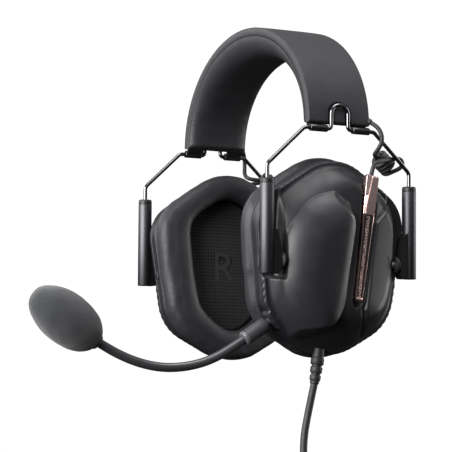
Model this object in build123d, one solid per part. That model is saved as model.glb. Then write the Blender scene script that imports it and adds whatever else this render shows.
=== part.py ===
"""Over-ear gaming headset with wire yokes, sliding cups and a boom microphone.

Frame: +X to the wearer's left, -Y forwards, +Z up, in millimetres.
The origin is the underside of the headband pad at the crown, where it rests on the head.
Everything is drawn for the left side; the right side is its mirror image.
The cups are drawn upright and then leaned by CUP_LEAN about their pivot.
"""
import os
from math import cos, pi, radians, sin, tan

from build123d import *

# ---- driving dimensions: headband ----
BAND_TOP = 16.0            # crown of the cover above the origin
BAND_END_Z = -44.6         # height of the band's two ends
BAND_HALF_X = 71.3         # outer half width at the ends
BAND_HALF_Y = 18.9         # half of the band's front-to-back width
COVER_THICK = 5.0
PAD_END_THICK = 4.6        # pad thickness at the ends
PAD_HALF_Y = 17.4
POCKET_DEPTH = 2.4         # outer skin over the spring pocket
POCKET_THICK = 1.8
SPRING_THICK = 0.8
SPRING_HALF_Y = 13.0
POCKET_HALF_Y = 13.4
BAND_WIRE_D = 1.6
BAND_WIRE_Y = 15.3
BAND_WIRE_SWEEP = (7, 166)     # start angle and arc of the band wire, degrees

# ---- driving dimensions: yoke, clips and sleeves ----
WIRE_D = 2.2
WIRE_X = 71.14             # plane of the yoke wire and of the sleeves
HINGE_Z = -47.6            # axis of the clip tubes
CLIP_TUBE_D = 3.8
CLIP_THICK = 0.75
CLIP_HALF_Y = 12.6
CLIP_PLATE_TOP_Z = -34.0
RIVET_Z = -40.0
RIVET_Y = 6.0
RIVET_X = (67.05, 68.5)
RIVET_D = 2.4
CLIP_TUBE_Y = (7.8, 18.4)  # start and end of each clip tube
LOOP_HALF_Y = 5.2          # half width of the stop loop
LOOP_TOP_Z = -34.6
LOOP_ROOM = 0.5            # clearance round the loop in its channel
LOOP_CHANNEL_DEPTH = 1.6
KNEE_Y = 21.6              # where the wire turns down towards the sleeves
LEG_Y = 44.14              # distance of each sleeve from the middle
LEG_BEND_Z = -68.35
LEG_END_Z = -120.0
WIRE_HEAD_D = 4.6          # swaged head that stops the sleeve
WIRE_HEAD_LENGTH = 3.5
SLEEVE_D = 7.7
SLEEVE_BORE_D = 5.4
SLEEVE_TOP_Z = -75.8
SLEEVE_LENGTH = 50.0
CAP_LENGTH = 2.8
PLUG_LENGTH = 2.2
BUSH_LENGTH = 8.0
CAP_BORE_D = 3.0
SLIDE_FIT = 0.05           # radial clearance of running fits

# ---- driving dimensions: cup, before it is leaned ----
PIVOT_Z = -118.6
CUP_LEAN = 4.0             # degrees, outer face turned slightly down
CUP_CORNERS = [            # y, z and corner radius of the cup's outline
    (0, -58.8, 30), (46.4, -88.6, 22), (38.5, -150.6, 26),
    (0, -172.6, 30), (-38.5, -150.6, 26), (-46.4, -88.6, 22),
]
EAR_CORNERS = [            # the ear opening through the cushion
    (0, -74.5, 16), (26.0, -92.0, 12), (20.5, -138.5, 12),
    (0, -157.5, 16), (-20.5, -138.5, 12), (-26.0, -92.0, 12),
]
CUSHION_X = (40.0, 54.6)
CUSHION_SWELL = 1.6
BAFFLE_X = (54.8, 57.0)
HOUSING_X = (55.0, 59.8)
SHELL_X = 60.0
RIM_TOP_X = 63.6
WALL = 2.2
SHOULDER_RISE = 5.6
SHOULDER_SLOPE = 50.0
CHAMFER_RISE = 4.0         # height of the bevel round the block and the island
CHAMFER_SLOPE = 40.0
BLOCK_INSET = 9.4
BLOCK_TOP_X = 79.0
ISLAND_TOP_X = 83.6
RELIEF_Y = 33.4            # the shell stays inside this beside the sleeves
RELIEF_Z = (-133.0, -73.0)
RELIEF_X = 62.2
CUP_MID_Z = -116.0
BAR_TOP = (69.5, 18.3, -71.5)
BAR_FOOT = (78.0, 6.8, -139.0)
BAR_WIDTHS = (7.8, 4.6)     # at its top and at its foot
BAR_THICK = 3.4
MESH_START = 0.33          # share of the bar's length above the strip
MESH_THICK = 0.8
MESH_EDGE = 0.9
SCREW_D = 2.9
SCREW_HEAD_D = 5.2
SCREW_HEAD_THICK = 1.1
BOSS_D = 6.0
SCREW_SPOTS = [(0, -84.0), (-24.0, -140.0), (24.0, -140.0)]
BOSS_TOP_X = (76.2, 81.0, 76.2)      # inside the roof above each screw

# ---- driving dimensions: pivot ----
PIN_D = 4.0
PIN_END_Y = 39.8
BRACKET_Y = 36.9
BRACKET_HALF_X = 3.2
WASHER_D = 9.0
WASHER_Y = (34.25, 36.7)
LUG_Y = (24.6, 29.8)
LUG_ARM_END_Y = 43.0
LUG_TOP_X = 74.4
LUG_HALF_Z = 5.0

# ---- driving dimensions: boom, before the cup is leaned ----
BOOM_X = 59.5
BOOM_Y = -30.5
BOOM_Z = -148.2
BOOM_DROP = 33.3           # degrees below level at rest
BOOM_TRAVEL = (-5, 40)     # degrees of swing, upwards positive
BARREL_R = 5.0
BARREL_HALF = 2.1
HOLDER_START = 7.5
HOLDER_END = 22.9
HOLDER_D = 8.0
NECK_D = 4.8
BOOM_PIN_D = 3.0
GOOSE_D = 4.8
GOOSE_POINTS = [
    (58.8, -65.4, -170.6), (57.4, -77.6, -174.8), (55.6, -91.4, -176.4),
    (53.5, -104.6, -174.6), (51.2, -117.4, -170.0), (48.6, -129.6, -163.2),
]
FOAM_CENTRE = (46.2, -145.2, -152.3)
FOAM_LONG = 43.0
FOAM_WIDE = 26.8
CAPSULE_D = 9.4
CAPSULE_LENGTH = 12.0
NECK_STEM_D = 4.0
NECK_PLUG = 4.0            # how far the neck enters the holder
BOSS_X = (62.3, 65.5)      # cheek that holds the boom's pin
BOOM_BOSS_D = 7.0
BOOM_PIN_END_X = 64.5

# ---- driving dimensions: link cords ----
LINK_D = 2.2
CORD_GAP = 0.05            # between a cord's end face and its gland
GLAND_D = 3.6
GLAND_AT = (69.6, 18.9, -41.6)
GLAND_AIM = (0.62, 0.60, -0.50)
GLAND_REACH = 1.6
LINK_UPPER = [
    (73.0, 22.2, -44.3), (75.0, 24.0, -48.4), (75.4, 24.2, -53.2), (73.0, 22.8, -57.4),
    (68.4, 23.0, -60.0),
]
COIL_FROM = (63.6, 28.9, -60.2)
COIL_TO = (61.6, 38.1, -66.3)
COIL_D = 9.4
LINK_LOWER = [
    (65.6, 42.6, -62.9), (66.6, 38.6, -60.6), (68.9, 34.2, -61.2), (71.6, 29.0, -62.6),
    (73.4, 24.6, -63.8), (74.6, 20.6, -65.8), (74.4, 18.5, -70.2),
]

# ---- driving dimensions: main cord ----
CORD_D = 4.0
RELIEF_FROM = (57.0, -4.0, -165.6)
RELIEF_AIM = (-0.05, -0.12, -0.99)
RELIEF_LENGTH = 16.4
RELIEF_D = (7.0, 5.4)
RIB_START = 3.6
RIB_PITCH = 4.3
RIB_LENGTH = 3.0
CORD_POINTS = [
    (55.4, -9.0, -196.0), (55.6, -12.4, -212.0), (56.6, -12.4, -228.0), (57.4, -7.4, -243.0),
]
HANK_CENTRE = (58.0, -30.6, -256.0)
HANK_MEAN_R = 22.5
HANK_DEPTH = 16.0          # radial build of the turns
HANK_WIDE = 18.0           # along X
TIE_WIDE = 9.0
TIE_THICK = 1.4
TAIL_POINTS = [
    (63.0, -6.6, -262.0), (68.4, -4.0, -270.0), (71.4, -4.6, -281.0), (71.8, -6.4, -292.0),
]
GRIP_LENGTH = 22.0
GRIP_D = 7.6
JACK_D = 3.5
JACK_LENGTH = 14.0
JACK_TIP = 2.6


# ---- general helpers ----
def rounded_face(corners):
    """A closed outline through the corners, each rounded by its own radius."""
    face = make_face(Polyline(*[(y, z) for y, z, _ in corners], close=True))
    for y, z, radius in corners:
        corner = face.vertices().sort_by_distance((y, z, 0))[0]
        face = fillet(corner, radius)
    return face


def grown(face, distance):
    """The outline moved outwards, or inwards if the distance is negative."""
    return offset(face, distance, kind=Kind.ARC)


def slab(face, x_low, x_high, taper=0):
    """A YZ outline extruded along X."""
    return extrude(Plane.YZ.offset(x_low) * face, x_high - x_low, taper=taper)


def rod(start, end, diameter):
    """A round bar from one point to another."""
    axis = Vector(end) - Vector(start)
    return extrude(Plane(origin=start, z_dir=axis) * Circle(diameter / 2), axis.length)


def cone_rod(start, aim, length, diameter_from, diameter_to):
    """A tapered round bar from a point along a direction."""
    plane = Plane(origin=start, z_dir=aim)
    return plane * Cone(
        diameter_from / 2, diameter_to / 2, length, align=(Align.CENTER, Align.CENTER, Align.MIN)
    )


def block(x, y, z):
    """A box between two limits on each axis."""
    box = Box(x[1] - x[0], y[1] - y[0], z[1] - z[0])
    return Pos((x[0] + x[1]) / 2, (y[0] + y[1]) / 2, (z[0] + z[1]) / 2) * box


def soft_radii(points):
    """Arc radii of a cord's route: 0.45 of the shorter run over the tangent of half the turn."""
    vectors = [Vector(p) for p in points]
    radii = []
    for before, here, after in zip(vectors, vectors[1:], vectors[2:]):
        run_in = here - before
        run_out = after - here
        half_turn = radians(run_in.get_angle(run_out)) / 2
        radii.append(0.45 * min(run_in.length, run_out.length) / tan(half_turn))
    return radii


def tube(points, diameter, name):
    """A round tube along straight runs joined by tangent arcs."""
    radii = soft_radii(points)
    path = FilletPolyline(*points, radius=radii)
    section = Plane(origin=path @ 0, z_dir=path % 0) * Circle(diameter / 2)
    solid = sweep(section, path=path)
    expected = pi * diameter ** 2 / 4 * path.length
    print(f"{name}: length {path.length:.1f} volume ratio {solid.volume / expected:.4f} radii",
          [round(r, 1) for r in radii])
    return solid


def mirrored(solid):
    """The same piece on the wearer's right."""
    return mirror(solid, about=Plane.YZ)


def leaned(solid):
    """Turn a cup piece about the pivot axis to its resting lean."""
    return Pos(WIRE_X, 0, PIVOT_Z) * Rot(0, CUP_LEAN, 0) * Pos(-WIRE_X, 0, -PIVOT_Z) * solid


# ---- headband ----
def arch(depth_side_from, depth_side_to, depth_top_from, depth_top_to, half_y):
    """A half-elliptic arch between two depths below the band's outer surface."""
    rise = BAND_TOP - BAND_END_Z
    outer = Ellipse(BAND_HALF_X - depth_side_from, rise - depth_top_from)
    inner = Ellipse(BAND_HALF_X - depth_side_to, rise - depth_top_to)
    upper = Pos(0, rise) * Rectangle(4 * BAND_HALF_X, 2 * rise)
    face = (outer - inner) & upper
    return extrude(Plane.XZ * Pos(0, BAND_END_Z) * face, half_y, both=True)


def loop_channel():
    """The U-shaped channel in the cover that the stop loop rests in."""
    reach = LOOP_HALF_Y + WIRE_D / 2 + LOOP_ROOM
    core = LOOP_HALF_Y - WIRE_D / 2 - LOOP_ROOM
    centre_z = LOOP_TOP_Z - LOOP_HALF_Y
    low_z = BAND_END_Z - 1
    outline = Pos(0, centre_z) * Circle(reach)
    outline += Pos(0, (centre_z + low_z) / 2) * Rectangle(2 * reach, centre_z - low_z)
    tongue = Pos(0, centre_z) * Circle(core)
    tongue += Pos(0, (centre_z + low_z) / 2) * Rectangle(2 * core, centre_z - low_z)
    return slab(outline - tongue, BAND_HALF_X - LOOP_CHANNEL_DEPTH, BAND_HALF_X + 4)


def headband_pocket():
    """The pocket between the skins that holds the spring, the clips and the wire."""
    low = POCKET_DEPTH + POCKET_THICK
    pocket = arch(POCKET_DEPTH, low, POCKET_DEPTH, low, POCKET_HALF_Y)
    wire_room = arch(POCKET_DEPTH, low, POCKET_DEPTH, low, BAND_WIRE_D)
    return pocket + Pos(0, BAND_WIRE_Y - 0.4, 0) * wire_room


def gland_point(distance):
    """A point on the link gland's axis, counted outwards from the band's rear edge."""
    return Vector(GLAND_AT) + Vector(GLAND_AIM).normalized() * distance


def headband_cover():
    """Moulded upper strap with its pocket, the loop channels and the gland holes."""
    cover = arch(0, COVER_THICK, 0, COVER_THICK, BAND_HALF_Y)
    cover = cover - headband_pocket()
    gland_hole = rod(gland_point(-3.4), gland_point(3.0), GLAND_D)
    for channel in (loop_channel(), gland_hole):
        cover = cover - channel - mirrored(channel)
    return cover


def headband_pad():
    """Soft lining, thickest at the crown."""
    return arch(COVER_THICK, COVER_THICK + PAD_END_THICK, COVER_THICK, BAND_TOP, PAD_HALF_Y)


def headband_spring():
    """Sprung steel strip that presses the cups together."""
    depth = POCKET_DEPTH + 0.1
    spring = arch(depth, depth + SPRING_THICK, depth, depth + SPRING_THICK, SPRING_HALF_Y)
    for rivet in clip_rivets():
        spring -= rivet
    return spring


def headband_wire():
    """The audio wire that joins the two cups, lying beside the spring."""
    middle = POCKET_DEPTH + POCKET_THICK / 2
    half_x = BAND_HALF_X - middle
    rise = BAND_TOP - BAND_END_Z - middle
    start, arc = BAND_WIRE_SWEEP
    curve = EllipticalCenterArc((0, BAND_END_Z), half_x, rise, start_angle=start, arc_size=arc)
    path = Pos(0, BAND_WIRE_Y, 0) * (Plane.XZ * curve)
    section = Plane(origin=path @ 0, z_dir=path % 0) * Circle(BAND_WIRE_D / 2)
    return sweep(section, path=path)


def hinge_clip():
    """Sheet metal end piece: a plate on the spring, rolled into two tubes round the wire."""
    depth = POCKET_DEPTH + SPRING_THICK + 0.15
    ring = arch(depth, depth + CLIP_THICK, depth, depth + CLIP_THICK, CLIP_HALF_Y)
    clip = ring & block((50, 90), (-20, 20), (BAND_END_Z, CLIP_PLATE_TOP_Z))
    plate_x = (BAND_HALF_X - depth - CLIP_THICK, BAND_HALF_X - depth)
    foot_z = (BAND_END_Z - 2.0, BAND_END_Z - 1.0)
    for side in (-1, 1):
        near, far = sorted((side * CLIP_TUBE_Y[0], side * CLIP_TUBE_Y[1]))
        inner, outer = sorted((side * CLIP_TUBE_Y[0], side * CLIP_HALF_Y))
        clip += block(plate_x, (inner, outer), (foot_z[0], BAND_END_Z))
        clip += block((plate_x[0], WIRE_X), (near, far), foot_z)
        clip += rod((WIRE_X, near, HINGE_Z), (WIRE_X, far, HINGE_Z), CLIP_TUBE_D)
        bore_d = WIRE_D + 2 * SLIDE_FIT
        clip -= rod((WIRE_X, near - 1, HINGE_Z), (WIRE_X, far + 1, HINGE_Z), bore_d)
    for rivet in clip_rivets():
        clip -= rivet
    return clip


def clip_rivets():
    """Two rivets at each end, through the clip plate and the spring's tail."""
    rivets = []
    for y in (-RIVET_Y, RIVET_Y):
        rivet = rod((RIVET_X[0], y, RIVET_Z), (RIVET_X[1], y, RIVET_Z), RIVET_D)
        rivets += [rivet, mirrored(rivet)]
    return rivets


def band_glands():
    """Small sleeve where each link cord leaves the band's rear edge."""
    gland = rod(gland_point(-1.0), gland_point(GLAND_REACH), GLAND_D - 0.1)
    return [gland, mirrored(gland)]


# ---- yoke ----
def wire_route():
    """Centre line of the yoke wire, from the front leg's end to the rear leg's end."""
    front = [
        (-LEG_Y, LEG_END_Z), (-LEG_Y, LEG_BEND_Z), (-KNEE_Y, HINGE_Z),
        (-LOOP_HALF_Y, HINGE_Z), (-LOOP_HALF_Y, LOOP_TOP_Z),
    ]
    return front + [(-y, z) for y, z in reversed(front)]


def yoke_wire():
    points = [(WIRE_X, y, z) for y, z in wire_route()]
    corner = LOOP_HALF_Y - 0.1
    radii = [4.0, 4.0, 2.0, corner, corner, 2.0, 4.0, 4.0]
    path = FilletPolyline(*points, radius=radii)
    section = Plane(origin=path @ 0, z_dir=path % 0) * Circle(WIRE_D / 2)
    wire = sweep(section, path=path)
    for y in (-LEG_Y, LEG_Y):
        wire += rod((WIRE_X, y, LEG_END_Z), (WIRE_X, y, LEG_END_Z + WIRE_HEAD_LENGTH), WIRE_HEAD_D)
    return wire


# ---- slider: sleeves, bushes, brackets, pins ----
def sleeve(y):
    """Steel tube that slides on one leg of the yoke wire, with its hole for the pivot pin."""
    low_z = SLEEVE_TOP_Z - SLEEVE_LENGTH
    body = rod((WIRE_X, y, low_z), (WIRE_X, y, SLEEVE_TOP_Z - CAP_LENGTH), SLEEVE_D)
    return body - rod((WIRE_X, y, low_z - 1), (WIRE_X, y, SLEEVE_TOP_Z), SLEEVE_BORE_D)


def sleeve_caps():
    """Black end cap on top of each sleeve and the plug in its foot."""
    low_z = SLEEVE_TOP_Z - SLEEVE_LENGTH
    pieces = []
    for y in (-LEG_Y, LEG_Y):
        cap = rod((WIRE_X, y, SLEEVE_TOP_Z - CAP_LENGTH), (WIRE_X, y, SLEEVE_TOP_Z), SLEEVE_D - 0.1)
        cap -= rod((WIRE_X, y, low_z), (WIRE_X, y, SLEEVE_TOP_Z + 1), CAP_BORE_D)
        plug = rod((WIRE_X, y, low_z), (WIRE_X, y, low_z + PLUG_LENGTH), SLEEVE_BORE_D)
        pieces += [cap, plug]
    return pieces


def friction_bushes():
    """Nylon bush under each cap that grips the wire."""
    top = SLEEVE_TOP_Z - CAP_LENGTH
    pieces = []
    for y in (-LEG_Y, LEG_Y):
        bush = rod((WIRE_X, y, top - BUSH_LENGTH), (WIRE_X, y, top), SLEEVE_BORE_D)
        bush -= rod((WIRE_X, y, top - 20), (WIRE_X, y, top + 1), WIRE_D + 2 * SLIDE_FIT)
        pieces.append(bush)
    return pieces


def pivot_brackets():
    """Faceted fin on each sleeve that carries the cup's pivot pin."""
    pieces = []
    for side in (-1, 1):
        fin = [
            (41.6, -101.0), (39.0, -103.5), (BRACKET_Y, -112.0), (BRACKET_Y, -123.6),
            (38.4, -125.8), (41.6, -125.8),
        ]
        outline = make_face(Polyline(*[(side * y, z) for y, z in fin], close=True))
        bracket = slab(outline, WIRE_X - BRACKET_HALF_X, WIRE_X + BRACKET_HALF_X)
        y = side * LEG_Y
        bracket -= rod((WIRE_X, y, -130), (WIRE_X, y, -95), SLEEVE_D)
        bracket -= rod((WIRE_X, side * 30, PIVOT_Z), (WIRE_X, side * 50, PIVOT_Z), PIN_D)
        pieces.append(bracket)
    return pieces


def pivot_pins():
    """Shouldered pins: fixed in the fins, turning in the housing's lugs."""
    pieces = []
    for side in (-1, 1):
        start = (WIRE_X, side * LUG_Y[0], PIVOT_Z)
        end = (WIRE_X, side * PIN_END_Y, PIVOT_Z)
        pieces.append(rod(start, end, PIN_D))
    return pieces


def pivot_washers():
    """Dark rubber washers between the fins and the shell."""
    pieces = []
    for side in (-1, 1):
        start = (WIRE_X, side * WASHER_Y[0], PIVOT_Z)
        end = (WIRE_X, side * WASHER_Y[1], PIVOT_Z)
        washer = rod(start, end, WASHER_D) - rod(start, end, PIN_D)
        pieces.append(washer)
    return pieces


# ---- cup ----
CUP_FACE = rounded_face(CUP_CORNERS)
EAR_FACE = rounded_face(EAR_CORNERS)


def boom_direction(swing=0.0):
    """Unit vector along the boom's holder, swung up by some degrees."""
    angle = radians(BOOM_DROP - swing)
    return Vector(0, -cos(angle), -sin(angle))


def boom_room():
    """Space that the boom's barrel, neck and holder sweep through."""
    pivot = Vector(BOOM_X, BOOM_Y, BOOM_Z)
    side = Vector(1, 0, 0)
    room = rod(pivot - 2.5 * side, pivot + 2.5 * side, 2 * BARREL_R + 0.8)
    swings = range(BOOM_TRAVEL[0] - 2, BOOM_TRAVEL[1] + 3, 7)
    for swing in swings:
        aim = boom_direction(swing)
        plane = Plane(origin=pivot, x_dir=side, z_dir=aim)
        neck = Box(5.0, NECK_D + 0.8, 20, align=(Align.CENTER, Align.CENTER, Align.MIN))
        holder = Box(HOLDER_D + 1, HOLDER_D + 1, 14, align=(Align.CENTER, Align.CENTER, Align.MIN))
        room += plane * neck
        room += plane * Pos(0, 0, HOLDER_START - 1.2) * holder
    return room


BOOM_ROOM = boom_room()


def bar_plane(lift=0.0):
    """Plane of the accent bar: x along the bar, z out of the shell."""
    along = (Vector(BAR_FOOT) - Vector(BAR_TOP)).normalized()
    out = Vector(1, 0, 0) - along * along.X
    return Plane(origin=Vector(BAR_TOP) + out.normalized() * lift, x_dir=along, z_dir=out)


def bar_length():
    return (Vector(BAR_FOOT) - Vector(BAR_TOP)).length


def bar_outline(start, end, margin):
    """Tapering outline of the bar between two distances from its top."""
    full = bar_length()
    narrowing = BAR_WIDTHS[1] - BAR_WIDTHS[0]
    near = (BAR_WIDTHS[0] + narrowing * start / full) / 2 + margin
    far = (BAR_WIDTHS[0] + narrowing * end / full) / 2 + margin
    low = start - margin
    high = end + margin
    return make_face(Polyline((low, -near), (high, -far), (high, far), (low, near), close=True))


def accent_bar():
    bar = extrude(bar_plane() * bar_outline(0, bar_length(), 0), BAR_THICK)
    return bar - accent_mesh_solid(0.0)


def accent_mesh_solid(inset):
    """Perforated strip let into the lower two thirds of the bar."""
    outline = bar_outline(MESH_START * bar_length(), bar_length() - 2.0, -MESH_EDGE - inset)
    return extrude(bar_plane(BAR_THICK - MESH_THICK) * outline, MESH_THICK)


def bar_groove(margin, depth, rise):
    """Tapered channel cut for the bar."""
    outline = bar_outline(-6, bar_length(), margin)
    return extrude(bar_plane(-depth) * outline, depth + rise)


def block_outline():
    return grown(CUP_FACE, -BLOCK_INSET)


def island_outline():
    """Front part of the shell's raised block, ahead of the bar."""
    ahead = make_face(Polyline((2.5, -60), (-6.5, -172), (-60, -172), (-60, -60), close=True))
    return grown(CUP_FACE, -BLOCK_INSET - 1.0) & ahead


def sleeve_relief(x_low, y_in):
    """Flats beside the sleeves, where the shell drops to its rim."""
    front = block((x_low, 100), (-70, -y_in), RELIEF_Z)
    rear = block((x_low, 100), (y_in, 70), RELIEF_Z)
    return [front, rear]


def shell_outside():
    body = slab(CUP_FACE, SHELL_X, RIM_TOP_X)
    body += slab(CUP_FACE, RIM_TOP_X, RIM_TOP_X + SHOULDER_RISE, taper=SHOULDER_SLOPE)
    for flat in sleeve_relief(RELIEF_X, RELIEF_Y):
        body -= flat
    for outline, top in ((block_outline(), BLOCK_TOP_X), (island_outline(), ISLAND_TOP_X)):
        body += slab(outline, SHELL_X, top - CHAMFER_RISE)
        body += slab(outline, top - CHAMFER_RISE, top, taper=CHAMFER_SLOPE)
    return body


def shell_inside():
    room = slab(grown(CUP_FACE, -WALL), SHELL_X - 1, RIM_TOP_X)
    shoulder_top = RIM_TOP_X + SHOULDER_RISE - WALL
    room += slab(grown(CUP_FACE, -WALL - 0.4), RIM_TOP_X, shoulder_top, taper=SHOULDER_SLOPE)
    for flat in sleeve_relief(SHELL_X - 2, RELIEF_Y - WALL):
        room -= flat
    room += slab(grown(CUP_FACE, -BLOCK_INSET - WALL), SHELL_X - 1, BLOCK_TOP_X - CHAMFER_RISE)
    room += slab(grown(island_outline(), -WALL), SHELL_X, ISLAND_TOP_X - CHAMFER_RISE)
    return room - bar_groove(2.6, 4.4, 20)


def screw_bosses():
    """Posts for the housing screws, grown down from the roof of the shell."""
    bosses = []
    for (y, z), top in zip(SCREW_SPOTS, BOSS_TOP_X):
        bosses.append(rod((SHELL_X + 1, y, z), (top, y, z), BOSS_D))
    return bosses


def outer_shell():
    shell = shell_outside() - shell_inside()
    for boss in screw_bosses():
        shell += boss
    shell -= bar_groove(0.4, 0.3, 20)
    for y, z in SCREW_SPOTS:
        shell -= rod((SHELL_X - 1, y, z), (71, y, z), 3.0)
    shell -= rod((WIRE_X, -50, PIVOT_Z), (WIRE_X, 50, PIVOT_Z), PIN_D + 1.0)
    return shell


def boom_boss():
    """Inner cheek of the shell that holds the boom's pin."""
    return rod((BOSS_X[0], BOOM_Y, BOOM_Z), (BOSS_X[1], BOOM_Y, BOOM_Z), BOOM_BOSS_D)


def left_outer_shell():
    shell = outer_shell() - BOOM_ROOM
    shell += boom_boss()
    return shell - rod((SHELL_X - 2, BOOM_Y, BOOM_Z), (BOOM_PIN_END_X, BOOM_Y, BOOM_Z), BOOM_PIN_D)


def mid_housing():
    """Side wall of the cup with the two inner lugs for the pivot pins."""
    hollow = slab(grown(CUP_FACE, -WALL), HOUSING_X[0] - 1, HOUSING_X[1] + 1)
    wall = slab(CUP_FACE, *HOUSING_X) - hollow
    half_z = (PIVOT_Z - LUG_HALF_Z, PIVOT_Z + LUG_HALF_Z)
    for side in (-1, 1):
        arm_y = sorted((side * LUG_Y[0], side * LUG_ARM_END_Y))
        post_y = sorted((side * LUG_Y[0], side * LUG_Y[1]))
        wall += block((BAFFLE_X[1] + 0.2, HOUSING_X[1]), arm_y, half_z)
        wall += block((BAFFLE_X[1] + 0.2, LUG_TOP_X), post_y, half_z)
    wall -= rod((WIRE_X, -50, PIVOT_Z), (WIRE_X, 50, PIVOT_Z), PIN_D + 2 * SLIDE_FIT)
    return wall


def cord_exit():
    """Clearance for the strain relief through the foot of the cup."""
    return rod(RELIEF_FROM, Vector(RELIEF_FROM) + Vector(RELIEF_AIM) * 6, RELIEF_D[0])


def driver_baffle():
    """Plate that carries the loudspeaker and holds the housing to the shell."""
    plate = slab(grown(CUP_FACE, -WALL - 0.2), *BAFFLE_X)
    plate -= rod((50, 0, CUP_MID_Z), (60, 0, CUP_MID_Z), 37.0)
    for y, z in SCREW_SPOTS:
        plate -= rod((50, y, z), (60, y, z), SCREW_D + 0.3)
        plate -= rod((50, y, z), (BAFFLE_X[0] + 0.1 + SCREW_HEAD_THICK, y, z), SCREW_HEAD_D + 0.4)
    return plate


def driver():
    """Loudspeaker: flanged basket with its magnet, one glued unit."""
    unit = None
    for low, high, diameter in ((0.1, 2.2, 42.0), (2.2, 7.0, 36.0), (7.0, 10.5, 22.0)):
        start = (BAFFLE_X[1] + low, 0, CUP_MID_Z)
        step = rod(start, (BAFFLE_X[1] + high, 0, CUP_MID_Z), diameter)
        unit = step if unit is None else unit + step
    return unit


def ear_cushion():
    """Padded ring with a rounded face and the ear opening through it."""
    low, high = CUSHION_X
    outline = grown(CUP_FACE, CUSHION_SWELL)
    rounded = 5.0
    pad = slab(outline, low + rounded, high)
    pad += extrude(Plane.YZ.offset(low + rounded) * outline, -rounded, taper=35)
    return pad - slab(EAR_FACE, low - 1, high + 1)


def speaker_cloth():
    return slab(grown(EAR_FACE, -0.4), CUSHION_X[1] - 0.8, CUSHION_X[1] - 0.1)


def housing_screws():
    pieces = []
    for y, z in SCREW_SPOTS:
        neck_x = BAFFLE_X[0] + 0.1 + SCREW_HEAD_THICK
        screw = rod((BAFFLE_X[0] + 0.1, y, z), (neck_x, y, z), SCREW_HEAD_D)
        screw += rod((neck_x, y, z), (70, y, z), SCREW_D)
        pieces.append(screw)
    return pieces


# ---- boom microphone ----
def boom_point(distance, swing=0.0):
    return Vector(BOOM_X, BOOM_Y, BOOM_Z) + boom_direction(swing) * distance


def boom_knuckle():
    """Flat barrel on the boom pin, with the neck that carries the holder."""
    ends = [(BOOM_X + s * BARREL_HALF, BOOM_Y, BOOM_Z) for s in (-1, 1)]
    knuckle = rod(*ends, 2 * BARREL_R)
    knuckle += rod(boom_point(0), boom_point(HOLDER_START + NECK_PLUG), NECK_STEM_D)
    return knuckle - rod((50, BOOM_Y, BOOM_Z), (70, BOOM_Y, BOOM_Z), BOOM_PIN_D + 2 * SLIDE_FIT)


def boom_holder():
    """Collar that joins the knuckle to the gooseneck."""
    holder = rod(boom_point(HOLDER_START), boom_point(HOLDER_END), HOLDER_D)
    holder -= rod(boom_point(HOLDER_START - 1), boom_point(HOLDER_START + NECK_PLUG), NECK_STEM_D)
    return holder - rod(boom_point(HOLDER_START + 6), boom_point(HOLDER_END + 1), GOOSE_D)


def boom_pin():
    return rod((BAFFLE_X[0] + 0.2, BOOM_Y, BOOM_Z), (BOOM_PIN_END_X, BOOM_Y, BOOM_Z), BOOM_PIN_D)


def foam_aim():
    return (Vector(FOAM_CENTRE) - Vector(GOOSE_POINTS[-1])).normalized()


def goose_route():
    end = Vector(FOAM_CENTRE) - foam_aim() * (CAPSULE_LENGTH / 2)
    first = [boom_point(HOLDER_START + 6), boom_point(HOLDER_END + 5)]
    return [(p.X, p.Y, p.Z) for p in first] + GOOSE_POINTS + [(end.X, end.Y, end.Z)]


def gooseneck():
    return tube(goose_route(), GOOSE_D, "gooseneck")


def mic_capsule():
    start = Vector(FOAM_CENTRE) - foam_aim() * (CAPSULE_LENGTH / 2)
    return rod(start, start + foam_aim() * CAPSULE_LENGTH, CAPSULE_D)


def foam_windscreen():
    """Egg of foam, hollow where it slips over the capsule."""
    plane = Plane(origin=FOAM_CENTRE, z_dir=foam_aim())
    half_plane = Pos(FOAM_WIDE, 0) * Rectangle(2 * FOAM_WIDE, 2 * FOAM_LONG)
    half_egg = Ellipse(FOAM_WIDE / 2, FOAM_LONG / 2) & half_plane
    egg = revolve(Plane.XZ * half_egg, Axis.Z, 360)
    foam = plane * egg
    start = Vector(FOAM_CENTRE) - foam_aim() * (CAPSULE_LENGTH / 2)
    foam -= rod(start, start + foam_aim() * CAPSULE_LENGTH, CAPSULE_D)
    return foam - gooseneck_room()


def gooseneck_room():
    """Opening in the foam for the gooseneck's end."""
    start = Vector(FOAM_CENTRE) - foam_aim() * (CAPSULE_LENGTH / 2)
    return rod(start - foam_aim() * 22, start, GOOSE_D + 0.8)


# ---- link cords ----
def link_upper():
    start = gland_point(GLAND_REACH + CORD_GAP)
    first = [(start.X, start.Y, start.Z)]
    return tube(first + LINK_UPPER, LINK_D, "link_upper")


def link_coil():
    return rod(COIL_FROM, COIL_TO, COIL_D)


def link_lower():
    return tube(LINK_LOWER, LINK_D, "link_lower")


# ---- main cord ----
def relief_end():
    return Vector(RELIEF_FROM) + Vector(RELIEF_AIM).normalized() * RELIEF_LENGTH


def strain_relief():
    """Tapered, ribbed sleeve at the foot of the left cup."""
    aim = Vector(RELIEF_AIM).normalized()
    body = cone_rod(RELIEF_FROM, RELIEF_AIM, RELIEF_LENGTH, RELIEF_D[0] - 1.0, RELIEF_D[1])
    for part in range(3):
        start = Vector(RELIEF_FROM) + aim * (RIB_START + RIB_PITCH * part)
        body += rod(start, start + aim * RIB_LENGTH, RELIEF_D[0] - 0.6 * part)
    return body


def main_cable():
    end = relief_end()
    first = [(end.X, end.Y, end.Z)]
    return [
        tube(first + CORD_POINTS, CORD_D, "main_cable"),
        tube(TAIL_POINTS, CORD_D, "cable_tail"),
    ]


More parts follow.
